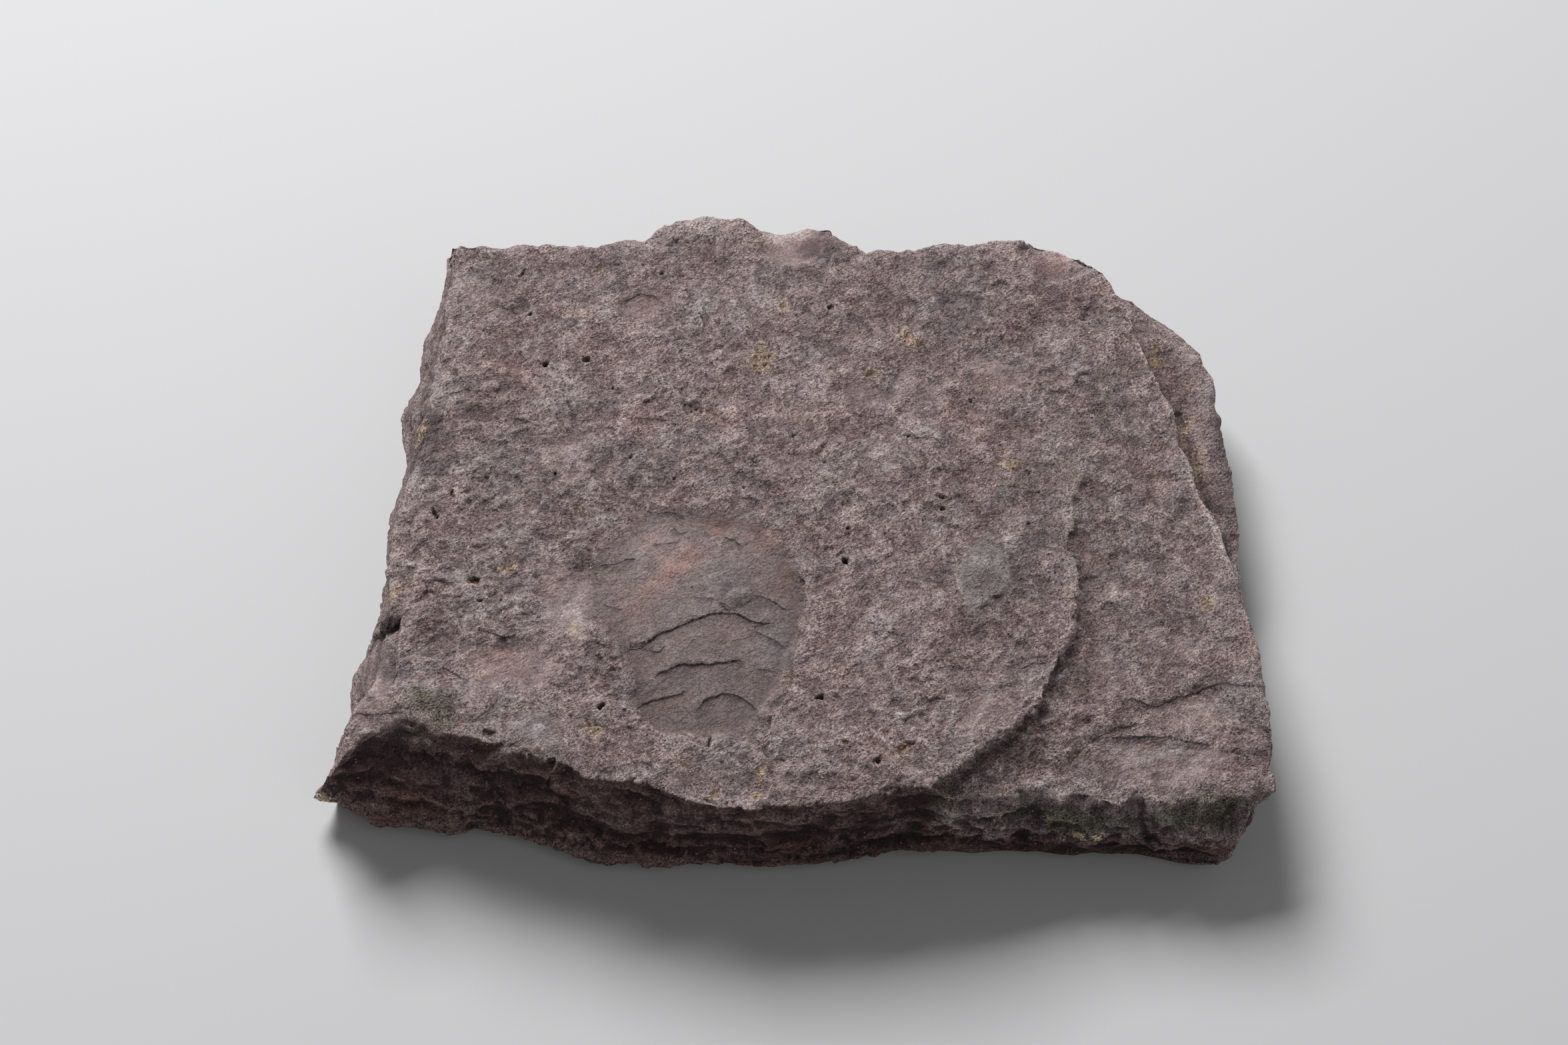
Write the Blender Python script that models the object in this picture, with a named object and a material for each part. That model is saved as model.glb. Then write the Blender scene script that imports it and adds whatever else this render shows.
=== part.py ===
"""A broken slab of purple-grey rock with a smooth shell-shaped scar and small fossil pits, lying on its back.

Frame: +Z up, +X to the slab's right, +Y to its back edge, origin under the middle of its flat base.
The form is a block that is sliced into a lattice and carried to the slab's outlines. Three outlines,
each of four sides, give its plan: the rim of the upper face, the waist where it is widest, and the base.
The upper face then gets its ledge, scars, cracks and lumps, and the pits are cut out of it.
Lengths in the tables below are millimetres; MM turns them into Blender's metres at the end.
"""

import bmesh
import bpy
import numpy as np

MM = 0.001

# Driving dimensions
PLATEAU_Z = 32.5          # height of the upper face over the base
BASE_SCALE = 0.965        # base outline over waist outline, so the lowest edge is undercut
WAIST_W = -0.6            # block height that becomes the waist, with -1 the base and 1 the rim
LATTICE = (60, 44, 8)     # slices of the block along X, Y and Z

# Rim of the upper face. Front and back run left to right, left and right run front to back.
RIM_FRONT = [(-91.3, -57.0), (-88.7, -54.3), (-84.9, -51.8), (-79.5, -50.2), (-74.7, -51.9),
             (-68.5, -53.6), (-53.0, -57.7), (-43.4, -60.5), (-31.8, -63.2), (-22.0, -66.7),
             (-14.3, -69.3), (2.2, -69.8), (12.8, -67.4), (27.4, -64.3), (32.0, -66.0),
             (44.0, -66.0), (47.3, -63.9), (51.3, -61.4), (55.7, -63.7), (61.0, -64.2),
             (67.2, -65.7), (70.8, -63.3), (76.1, -64.4), (81.5, -63.7), (86.7, -65.1),
             (91.5, -63.2), (99.4, -62.2)]
RIM_BACK = [(-73.3, 61.8), (-71.2, 62.6), (-52.0, 62.2), (-41.7, 61.4), (-35.8, 63.0),
            (-31.5, 62.7), (-29.1, 65.3), (-24.5, 67.8), (-18.8, 68.9), (-9.8, 67.8),
            (-5.9, 66.2), (4.9, 68.2), (8.8, 67.0), (12.6, 63.2), (16.9, 59.4), (21.1, 59.8),
            (31.3, 61.4), (44.9, 63.3), (50.8, 63.2), (63.2, 59.6), (68.6, 55.4)]
RIM_LEFT = [(-91.3, -57.0), (-90.6, -51.5), (-88.4, -47.0), (-86.2, -43.8), (-84.4, -39.8),
            (-82.5, -30.6), (-83.3, -26.9), (-82.8, -14.0), (-81.9, -3.1), (-79.7, 4.2),
            (-77.2, 13.3), (-76.1, 23.9), (-73.6, 29.2), (-73.1, 47.1), (-73.3, 61.8)]
RIM_RIGHT = [(99.4, -62.2), (98.5, -57.4), (99.0, -47.1), (98.2, -38.4), (96.6, -26.3),
             (94.8, -21.0), (93.1, -11.2), (90.8, -1.1), (88.0, 2.9), (84.3, 15.6),
             (80.5, 28.3), (77.8, 34.8), (75.2, 42.2), (73.0, 47.0), (68.6, 55.4)]

# Waist, with its height as the third value, in the same order as the rim
WAIST_FRONT = [(-99.3, -58.0, 8.0), (-90.1, -60.4, 6.0), (-86.7, -62.9, 5.0), (-78.6, -63.0, 4.0),
               (-71.7, -64.9, 4.0), (-66.2, -63.5, 4.0), (-57.4, -64.9, 4.0), (-49.3, -67.0, 4.0),
               (-39.9, -70.1, 4.0), (-10.1, -72.3, 4.0), (5.2, -71.1, 4.0), (17.3, -69.9, 4.0),
               (25.1, -68.5, 4.0), (47.8, -69.1, 4.0), (73.1, -69.7, 4.0), (86.5, -72.0, 4.0),
               (92.2, -70.3, 5.0), (96.5, -64.6, 9.0)]
WAIST_BACK = [(-77.0, 64.0, 12.0), (-60.0, 65.0, 12.0), (-35.0, 65.5, 12.0), (-18.0, 71.0, 12.0),
              (-6.0, 69.0, 12.0), (8.0, 68.5, 12.0), (18.0, 63.0, 12.0), (35.0, 64.0, 12.0),
              (50.0, 66.0, 12.0), (62.0, 61.0, 14.0), (75.6, 53.7, 16.0)]
WAIST_LEFT = [(-99.3, -58.0, 8.0), (-94.8, -51.5, 12.0), (-91.9, -44.5, 12.0), (-91.8, -32.8, 12.0),
              (-87.9, -25.6, 12.0), (-86.2, -11.0, 12.0), (-86.5, -1.7, 12.0), (-84.7, 11.3, 12.0),
              (-83.1, 17.0, 12.0), (-84.5, 30.4, 12.0), (-80.6, 38.2, 12.0), (-80.9, 48.0, 12.0),
              (-77.7, 57.7, 12.0), (-77.0, 64.0, 12.0)]
WAIST_RIGHT = [(96.5, -64.6, 9.0), (98.0, -47.0, 12.0), (97.0, -38.0, 12.0), (96.5, -26.0, 10.0),
               (96.4, -13.8, 10.0), (96.6, -1.8, 13.0), (95.0, 8.0, 15.0), (93.4, 22.5, 16.0),
               (92.5, 28.1, 16.0), (92.6, 35.3, 16.0), (90.0, 42.0, 16.0), (84.8, 46.9, 16.0),
               (79.6, 51.1, 16.0), (75.6, 53.7, 16.0)]

# The curved ledge: right of this line the upper face is broken away to a lower bed
LEDGE = [(28.2, -64.2), (37.1, -57.3), (46.7, -50.1), (51.3, -46.1), (54.4, -37.9), (58.5, -29.1),
         (60.2, -19.0), (58.3, -10.9), (60.1, -5.0), (61.8, 6.2), (66.7, 23.6), (73.1, 44.7)]
LEDGE_AT_Y = [-64.0, -52.0, -46.0, -38.0, -25.0, -8.0, 8.0, 26.0]     # where the next three are stated
LEDGE_DROP = [6.3, 5.6, 4.9, 3.3, 2.3, 1.4, 0.9, 0.0]
LEDGE_SLOPE = [17.0, 15.0, 12.5, 6.0, 4.5, 4.5, 5.0, 5.0]            # width of the slope past the line
LOWER_BED_FALL = [0.05, 0.05, 0.05, 0.08, 0.10, 0.12, 0.14, 0.18]     # fall of the lower bed towards the right edge
LEDGE_SUDDEN = 0.26                                             # share of the drop that is a sudden step
LEDGE_STEP = 2.0                                                # width of that step

# The straight break along the left edge: left of this line the face drops and leans away
BREAK = [(-82.6, -45.4), (-80.4, -38.6), (-79.8, -34.0), (-79.8, -27.6)]
BREAK_ENDS = (-48.0, -40.0, -28.2, -27.4)     # where along Y it fades in, is whole, and fades out again
BREAK_DROP = 0.8
BREAK_LEAN = 0.42

# The smooth scar: it bulges like a shell inside a low edge, and is scalloped by the edges of the flakes that left it
SCAR_CENTRE = (-19.0, -28.5)
SCAR_RADII = (22.0, 26.5)
SCAR_SWELL = 0.7
SCAR_EDGE = [0.4, 1.6]            # depth of its edge below the face round it, at the back left and the front right
SCAR_EDGE_AT = [-20.0, 45.0]      # where those two are stated, as x less y
SCALLOP_DROP = 0.7
SCALLOP_FADE = 4.5
SCALLOPS = [[(-33.2, -31.5), (-26.4, -29.7), (-17.6, -25.9), (-11.6, -25.2), (-2.2, -27.1)],
            [(-28.3, -40.0), (-21.5, -37.1), (-12.3, -36.6), (-3.0, -38.6)],
            [(-31.3, -47.9), (-23.1, -44.1), (-12.6, -43.6), (-5.9, -47.0)]]

# Hollows of the upper face: centre, radii along X and Y, depth
BITES = [((0.0, 67.5), (9.5, 10.5), 2.8),
         ((57.5, 60.0), (8.0, 7.0), 1.8),
         ((-30.5, 47.5), (7.0, 4.0), 0.6),
         ((-56.0, -36.0), (8.0, 5.0), 0.7),
         ((-90.0, -60.0), (22.0, 16.0), 5.0)]

# Small steps in the lower bed, each a drop towards the front
BED_STEPS = [[(68.4, -43.5), (75.3, -45.2), (86.6, -40.7), (97.0, -40.7)],
             [(54.9, -58.3), (62.5, -51.1), (72.9, -50.3), (91.1, -54.3)]]
BED_STEP_DROP = 1.0
BED_STEP_FADE = 6.0

# The raised angular clast
CLAST_CENTRE = (40.5, -16.5)
CLAST_RADII = (6.5, 10.0)
CLAST_RISE = 0.5

# Pits left by weathered stem pieces: centre, radius, depth
PITS = [(-51.8, 32.3, 1.3, 1.5), (-43.1, 33.4, 1.3, 1.4), (-5.7, 33.1, 3.0, 1.8),
        (-20.5, 21.6, 1.8, 1.4), (-65.2, -18.5, 1.9, 1.8), (-58.1, -15.6, 2.2, 1.5),
        (17.6, 29.6, 1.9, 1.0), (32.2, 0.8, 1.2, 1.3), (11.9, -14.1, 1.4, 1.6),
        (6.6, -44.9, 1.4, 1.4), (23.0, -56.4, 2.0, 1.6), (-1.1, 46.6, 1.6, 1.2),
        (-37.4, -48.0, 1.3, 1.2)]

# Lumps of the broken rock: wavelength and height of each layer of noise
LUMPS = [(46.0, 1.5), (17.0, 0.8), (7.5, 0.45)]
BEDDING_WAVELENGTH = (30.0, 5.0)   # along the beds and across them
BEDDING_HEIGHT = 1.1
RIM_ROUND = 0.9                    # how far the upper face turns down at its rim
RIM_ROUND_SPAN = 0.05              # share of the face that this takes

STONE_COLOUR = (0.20, 0.15, 0.147, 1.0)
STONE_ROUGHNESS = 0.92

EDGE_DIRECTIONS = np.array([(1, 1, 0), (-1, 1, 0), (1, -1, 0), (-1, -1, 0), (1, 0, 1), (-1, 0, 1),
                            (1, 0, -1), (-1, 0, -1), (0, 1, 1), (0, -1, 1), (0, 1, -1), (0, -1, -1)], float)


def corner_hash(cell, seed):
    """A repeatable whole number for each lattice corner."""
    mixed = cell[:, 0] * 374761393 + cell[:, 1] * 668265263 + cell[:, 2] * 1274126177 + seed * 974634777
    mixed = (mixed ^ (mixed >> 13)) * 1103515245
    return (mixed ^ (mixed >> 16)) & 0x7FFFFFFF


def noise(points, seed):
    """Gradient noise, about -1 to 1, with one feature for each unit of length."""
    cell = np.floor(points).astype(np.int64)
    inside = points - cell
    fade = inside ** 3 * (inside * (inside * 6 - 15) + 10)
    total = np.zeros(len(points))
    for corner in np.ndindex(2, 2, 2):
        slope = EDGE_DIRECTIONS[corner_hash(cell + corner, seed) % 12]
        weight = np.prod(np.where(corner, fade, 1 - fade), axis=1)
        total += weight * np.sum(slope * (inside - corner), axis=1)
    return total


def along(side, share):
    """Points of a polyline at these shares of its length."""
    side = np.array(side, float)
    length = np.concatenate([[0], np.cumsum(np.linalg.norm(np.diff(side[:, :2], axis=0), axis=1))])
    return np.stack([np.interp(share * length[-1], length, column) for column in side.T], axis=1)


def patch(front, back, left, right, across, deep):
    """Coons patch: fills four sides that meet at their corners, at shares across and deep of the way."""
    a, d = across[:, None], deep[:, None]
    ends = {name: np.array(point, float) for name, point in
            (("fl", front[0]), ("fr", front[-1]), ("bl", back[0]), ("br", back[-1]))}
    ruled = (1 - d) * along(front, across) + d * along(back, across)
    ruled += (1 - a) * along(left, deep) + a * along(right, deep)
    corners = (1 - d) * ((1 - a) * ends["fl"] + a * ends["fr"]) + d * ((1 - a) * ends["bl"] + a * ends["br"])
    return ruled - corners


def smooth(value, low, high):
    """0 below low, 1 above high, and a smooth step between them."""
    t = np.clip((value - low) / (high - low), 0, 1)
    return t * t * (3 - 2 * t)


def bowl(x, y, centre, radii):
    """1 at the centre of an ellipse, 0 at its edge and outside it."""
    r2 = ((x - centre[0]) / radii[0]) ** 2 + ((y - centre[1]) / radii[1]) ** 2
    return np.clip(1 - r2, 0, None)


def step_in_front(x, y, line, drop, fade):
    """A sudden drop on the front side of a line, which the face makes up again over the fade length."""
    line = np.array(line)
    gap = np.interp(x, line[:, 0], line[:, 1]) - y
    ends = smooth(x, line[0, 0] - 1, line[0, 0] + 4) * smooth(-x, -line[-1, 0] - 1, -line[-1, 0] + 4)
    return -drop * ends * smooth(gap, -0.6, 0.6) * np.exp(-np.clip(gap, 0, None) / fade)


def upper_face(x, y):
    """Height of the upper face, in millimetres, before its lumps."""
    line = np.array(LEDGE)
    lean = np.gradient(line[:, 0], line[:, 1])
    past = (x - np.interp(y, line[:, 1], line[:, 0])) / np.hypot(1, np.interp(y, line[:, 1], lean))
    drop, slope, fall = (np.interp(y, LEDGE_AT_Y, row) for row in (LEDGE_DROP, LEDGE_SLOPE, LOWER_BED_FALL))
    eased = np.clip(past / slope, 0, 1)
    z = PLATEAU_Z - drop * LEDGE_SUDDEN * smooth(past / LEDGE_STEP, 0, 1) - fall * np.clip(past, 0, None)
    z -= drop * (1 - LEDGE_SUDDEN) * eased * (1.6 - 0.6 * eased)
    line = np.array(BREAK)
    left = np.interp(y, line[:, 1], line[:, 0]) - x
    ends = smooth(y, *BREAK_ENDS[:2]) * smooth(-y, -BREAK_ENDS[3], -BREAK_ENDS[2])
    z -= ends * (BREAK_DROP * smooth(left, 0, 1.5) + BREAK_LEAN * np.clip(left, 0, 6))
    for line in BED_STEPS:
        z += step_in_front(x, y, line, BED_STEP_DROP, BED_STEP_FADE)
    for centre, radii, depth in BITES:
        z -= depth * bowl(x, y, centre, radii)
    scar = bowl(x, y, SCAR_CENTRE, SCAR_RADII)
    z += SCAR_SWELL * scar - np.interp(x - y, SCAR_EDGE_AT, SCAR_EDGE) * smooth(scar, 0, 0.2)
    for line in SCALLOPS:
        z += step_in_front(x, y, line, SCALLOP_DROP, SCALLOP_FADE) * smooth(scar, 0, 0.3)
    tilt = (CLAST_CENTRE[1] + CLAST_RADII[1] - y) / (2 * CLAST_RADII[1])
    z += CLAST_RISE * tilt * smooth(bowl(x, y, CLAST_CENTRE, CLAST_RADII), 0, 0.3)
    return z


def slab_points(block):
    """Carries points of the block, each coordinate from -1 to 1, to the slab, in millimetres."""
    across, deep, w = (block[:, 0] + 1) / 2, (block[:, 1] + 1) / 2, block[:, 2]
    rim = patch(RIM_FRONT, RIM_BACK, RIM_LEFT, RIM_RIGHT, across, deep)
    waist = patch(WAIST_FRONT, WAIST_BACK, WAIST_LEFT, WAIST_RIGHT, across, deep)
    base = waist[:, :2] * BASE_SCALE
    from_rim = np.clip((1 - np.abs(block[:, :2]).max(axis=1)) / RIM_ROUND_SPAN, 0, 1)
    rim_z = upper_face(rim[:, 0], rim[:, 1]) - RIM_ROUND * (1 - from_rim) ** 2
    up = np.clip((w - WAIST_W) / (1 - WAIST_W), 0, 1)
    down = np.clip((WAIST_W - w) / (1 + WAIST_W), 0, 1)[:, None]
    # The right wall steps out to a lower bed: its plan changes in the middle of its height
    shelf = smooth(across, 0.9, 1.0) * smooth(deep, 0.35, 0.6)
    # The right end of the front wall leans in above and is upright below
    chamfer = smooth(across, 0.64, 0.74) * smooth(-deep, -0.25, -0.05)
    outward = (up + shelf * (smooth(up, 0.2, 0.5) - up) + chamfer * (np.clip(2.5 * up - 1.5, 0, 1) - up))[:, None]
    plan = (1 - down) * (outward * rim[:, :2] + (1 - outward) * waist[:, :2]) + down * base
    z = up * rim_z + (1 - up) * (1 - down[:, 0]) * waist[:, 2]
    return np.column_stack([plan, z])


def roughness_of(points):
    """How far the broken rock stands out from its plain form, in millimetres."""
    out = sum(height * noise(points / wavelength, seed) for seed, (wavelength, height) in enumerate(LUMPS))
    wide, thin = BEDDING_WAVELENGTH
    beds = noise(points / (wide, wide, thin), len(LUMPS))
    on_wall = smooth(PLATEAU_Z - points[:, 2], 8, 14)
    return out + BEDDING_HEIGHT * on_wall * beds


def make_block():
    """A closed block from -1 to 1, sliced into a lattice."""
    bm = bmesh.new()
    bmesh.ops.create_cube(bm, size=2)
    for axis, count in enumerate(LATTICE):
        direction = [float(axis == k) for k in range(3)]
        for cut in np.linspace(-1, 1, count + 1)[1:-1]:
            place = [d * cut for d in direction]
            whole = bm.verts[:] + bm.edges[:] + bm.faces[:]
            bmesh.ops.bisect_plane(bm, geom=whole, plane_co=place, plane_no=direction, dist=1e-6)
    return bm


def move(bm, points):
    """Puts the block's vertices at these points, in millimetres."""
    for vertex, point in zip(bm.verts, points):
        vertex.co = point * MM
    bm.normal_update()


def make_stone(collection, material):
    bm = make_block()
    block = np.array([vertex.co for vertex in bm.verts])
    plain = slab_points(block)
    move(bm, plain)
    normals = np.array([vertex.normal for vertex in bm.verts])
    keeps = smooth(plain[:, 2], 0, 6)[:, None]
    in_scar = smooth(bowl(plain[:, 0], plain[:, 1], SCAR_CENTRE, SCAR_RADII), 0.05, 0.4)[:, None]
    rough = plain + normals * roughness_of(plain)[:, None] * keeps * (1 - 0.75 * in_scar)
    rough[block[:, 2] < -1 + 1e-6, 2] = 0
    move(bm, rough)
    underside = [face for face in bm.faces if face.calc_center_median().z < 1e-6]
    bmesh.ops.dissolve_faces(bm, faces=underside, use_verts=True)
    mesh = bpy.data.meshes.new("slab")
    bm.to_mesh(mesh)
    bm.free()
    mesh.materials.append(material)
    stone = bpy.data.objects.new("slab", mesh)
    collection.objects.link(stone)
    return stone


def height_at(stone, x, y):
    """Height of the stone's upper face at this place, in millimetres."""
    hit, place, _, _ = stone.ray_cast((x * MM, y * MM, 1), (0, 0, -1))
    return place.z / MM


def make_pit_cutter(stone, cutters, index, x, y, radius, depth):
    z = height_at(stone, x, y) + radius - depth
    bpy.ops.mesh.primitive_uv_sphere_add(
        segments=8, ring_count=6, radius=radius * MM, location=(x * MM, y * MM, z * MM),
        rotation=(0.2, 0.3, 0.4 * index))
    cutter = bpy.context.object
    cutter.name = f"pit_cutter_{index}"
    cutter.hide_render = True
    cutter.display_type = "WIRE"
    for other in list(cutter.users_collection):
        other.objects.unlink(cutter)
    cutters.objects.link(cutter)


def make_stone_material():
    material = bpy.data.materials.new("stone")
    material.use_nodes = True
    shader = material.node_tree.nodes["Principled BSDF"]
    shader.inputs["Base Color"].default_value = STONE_COLOUR
    shader.inputs["Roughness"].default_value = STONE_ROUGHNESS
    shader.inputs["Metallic"].default_value = 0.0
    return material


def new_collection(name):
    collection = bpy.data.collections.new(name)
    bpy.context.scene.collection.children.link(collection)
    return collection


def main():
    for old in list(bpy.data.objects):
        bpy.data.objects.remove(old)
    slab_collection = new_collection("fossil_crinoid_slab")
    cutters = new_collection("cutters")
    stone = make_stone(slab_collection, make_stone_material())
    bpy.context.view_layer.update()
    for index, pit in enumerate(PITS):
        make_pit_cutter(stone, cutters, index, *pit)
    cut = stone.modifiers.new("pits", "BOOLEAN")
    cut.operand_type = "COLLECTION"
    cut.collection = cutters
    cut.operation = "DIFFERENCE"
    cut.solver = "EXACT"


main()
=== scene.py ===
# A broken slab of purple-grey rock lying on its back, with a smooth shell-shaped scar and small fossil pits.
# The stone is one closed mesh. Its shape is worked out in millimetres and goes into Blender in metres.
import math
import bpy
import numpy as np
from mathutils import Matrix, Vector


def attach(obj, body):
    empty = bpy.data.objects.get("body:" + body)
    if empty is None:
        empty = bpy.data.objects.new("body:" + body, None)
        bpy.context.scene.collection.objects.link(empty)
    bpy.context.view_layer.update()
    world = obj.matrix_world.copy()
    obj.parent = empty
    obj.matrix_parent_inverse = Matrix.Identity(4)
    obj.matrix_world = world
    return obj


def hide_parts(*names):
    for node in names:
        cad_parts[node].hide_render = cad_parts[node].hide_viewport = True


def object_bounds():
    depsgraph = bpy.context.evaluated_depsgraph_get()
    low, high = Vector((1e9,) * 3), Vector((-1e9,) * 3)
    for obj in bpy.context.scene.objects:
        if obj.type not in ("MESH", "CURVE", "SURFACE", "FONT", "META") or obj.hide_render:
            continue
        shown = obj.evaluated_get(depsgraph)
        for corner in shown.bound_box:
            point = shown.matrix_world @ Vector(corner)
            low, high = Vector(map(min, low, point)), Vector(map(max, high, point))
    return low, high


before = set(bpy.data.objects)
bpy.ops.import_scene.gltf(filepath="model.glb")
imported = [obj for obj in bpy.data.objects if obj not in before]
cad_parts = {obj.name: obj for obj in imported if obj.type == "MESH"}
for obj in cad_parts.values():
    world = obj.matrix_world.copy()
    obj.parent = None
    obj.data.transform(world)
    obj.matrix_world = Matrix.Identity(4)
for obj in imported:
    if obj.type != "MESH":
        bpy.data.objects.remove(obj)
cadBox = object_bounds()


def easeStep(value, low, high):  # 0 below low, 1 above high, and a smooth curve between
    t = np.clip((value - low) / (high - low), 0, 1)
    return t * t * (3 - 2 * t)


def easeBetween(value, ends):  # up from 0 to 1 between the first two ends, and down to 0 between the last two
    a, b, c, d = ends
    return easeStep(value, a, b) * easeStep(-value, -d, -c)


def gridHash(cell, seed):  # one repeatable whole number for each corner of a cubic grid
    mixed = cell[:, 0] * 374761393 + cell[:, 1] * 668265263 + cell[:, 2] * 1274126177 + seed * 974634777
    mixed = (mixed ^ (mixed >> 13)) * 1103515245
    return (mixed ^ (mixed >> 16)) & 0x7FFFFFFF


edgeWays = np.array([(1, 1, 0), (-1, 1, 0), (1, -1, 0), (-1, -1, 0), (1, 0, 1), (-1, 0, 1), (1, 0, -1),
                     (-1, 0, -1), (0, 1, 1), (0, -1, 1), (0, 1, -1), (0, -1, -1)], float)


def softNoise(points, seed):
    # Gradient noise: each grid corner gives a random slope, and the eight slopes round a
    # point are faded together
    cell = np.floor(points).astype(np.int64)
    inside = points - cell
    fade = inside ** 3 * (inside * (inside * 6 - 15) + 10)
    total = np.zeros(len(points))
    for corner in np.ndindex(2, 2, 2):
        slope = edgeWays[gridHash(cell + corner, seed) % 12]
        weight = np.prod(np.where(corner, fade, 1 - fade), axis=1)
        total += weight * np.sum(slope * (inside - corner), axis=1)
    return total


# Noises made of several soft ones: height, size and seed of each
noises = {
    "lumps": [(1.5, 46.0, 0), (0.8, 17.0, 1), (0.45, 7.5, 2)],
    "lineWobble": [(0.42, 2.4, 33), (0.2, 0.95, 34)],
    "ledgeWander": [(1.0, 5.5, 31), (0.5, 2.2, 32), (0.4, 1.1, 35)],
    "edgeWander": [(1.4, 6.0, 41), (0.7, 2.4, 42)],
    "roughPlaces": [(1.0, 13.0, 43), (0.5, 5.0, 44)],
    "grainSwell": [(1.0, 5.0, 67), (0.5, 2.5, 68)],
    "wallStreaks": [(1.0, (9, 9, 1.3), 74), (0.5, (5, 5, 0.7), 75)],
    "pitEdges": [(0.45, 0.95, 61), (0.3, 0.5, 62)],
    "stainEdges": [(0.5, 5.0, 91), (0.35, 2.0, 92)],
}


def noiseSum(points, name):  # the soft noises of one name added up: height * noise(points / size)
    return sum(height * softNoise(points / size, seed) for height, size, seed in noises[name])


def cellsRound(points, seed):
    # For each of the 27 grid cells round a point: the offset of the point from the cell's random middle,
    # the cell's random lean, from -0.5 to 0.5 each way, and its random level, a whole number from 0 to 255
    cell = np.floor(points).astype(np.int64)
    for step in np.ndindex(3, 3, 3):
        near = cell + np.array(step) - 1
        first, second = gridHash(near, seed), gridHash(near, seed + 77)
        middle, lean = (np.stack([whole & 1023, (whole >> 10) & 1023, (whole >> 20) & 1023], axis=1) / 1023
                        for whole in (first, second))
        yield points - (near + middle), lean - 0.5, (first >> 5) & 255


def brokenNoise(points, seed):
    # Each cell is a bowl: distance squared + 0.9 * lean . offset + level. The lowest bowl wins, so hollow
    # facets meet in sharp ridges as they do on broken rock. About -0.5 to 0.5.
    lowest = np.full(len(points), 9.0)
    for offset, lean, level in cellsRound(points, seed):
        bowl = np.sum(offset ** 2, axis=1) + 0.9 * np.sum(lean * offset, axis=1)
        lowest = np.minimum(lowest, bowl + 0.5 * level / 255)
    return lowest - 0.42


def facetNoise(points, seed, slope=3.0, sharp=14.0):
    # Each cell is a leaning plane: slope * lean . offset + level. Every point takes the
    # planes of the cells round it, weighted by exp(-sharp * distance squared), so flat
    # facets meet in short steps. About -0.5 to 0.5.
    total, weight = np.zeros(len(points)), np.zeros(len(points))
    for offset, lean, level in cellsRound(points, seed):
        share = np.exp(-sharp * np.sum(offset ** 2, axis=1))
        total += share * (slope * np.sum(lean * offset, axis=1) + 0.6 * (level / 255 - 0.5))
        weight += share
    return total / weight


def turnedPlan(x, y, angle):  # x and y turned by an angle in degrees: x cos + y sin, and y cos - x sin
    c, s = math.cos(math.radians(angle)), math.sin(math.radians(angle))
    return c * x + s * y, c * y - s * x


def lineGap(x, y, line, reach=4.0):
    # Distance from each point to a bent line, in the plan, signed: plus on the back side of the line, minus
    # on the front side. Points further off than the reach keep the reach.
    line = np.array(line, float)
    gap = np.full(len(x), reach)
    side = np.ones(len(x))
    low, high = line.min(axis=0) - reach, line.max(axis=0) + reach
    near = np.nonzero((x > low[0]) & (x < high[0]) & (y > low[1]) & (y < high[1]))[0]
    px, py = x[near], y[near]
    best, bestSide = gap[near], side[near]
    for (ax, ay), (bx, by) in zip(line[:-1], line[1:]):
        dx, dy = bx - ax, by - ay
        share = np.clip(((px - ax) * dx + (py - ay) * dy) / (dx * dx + dy * dy), 0, 1)
        away = np.hypot(px - ax - share * dx, py - ay - share * dy)
        closer = away < best
        best = np.where(closer, away, best)
        bestSide = np.where(closer, np.sign(dx * (py - ay) - dy * (px - ax)), bestSide)
    gap[near], side[near] = best, bestSide
    return gap * side


def ellipse(x, y, spot):  # 0 at the middle of an ellipse (x, y, half length, half width, turn), 1 at its edge
    cx, cy, rx, ry, turn = spot[:5]
    u, v = turnedPlan(x - cx, y - cy, turn)
    return np.hypot(u / rx, v / ry)


def depthInside(x, y, outline, reach):  # distance inside a closed outline, minus outside it, up to the reach
    outline = np.array(outline, float)
    gap = np.abs(lineGap(x, y, outline, reach))
    inside = np.zeros(len(x), bool)
    for (ax, ay), (bx, by) in zip(outline[:-1], outline[1:]):
        crosses = (ay > y) != (by > y)
        inside ^= crosses & (x < (bx - ax) * (y - ay) / (by - ay + 1e-12) + ax)
    return np.where(inside, gap, -gap)


def inOutline(x, y, outline, soft):  # 1 inside a closed outline, 0 outside it, fading over the soft width
    return easeStep(depthInside(x, y, outline, soft), -soft, soft)


def flatPoints(x, y):  # points in the plan, so that a noise on them doesn't change with height
    return np.stack([x, y, np.zeros(len(x))], axis=1)


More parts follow.
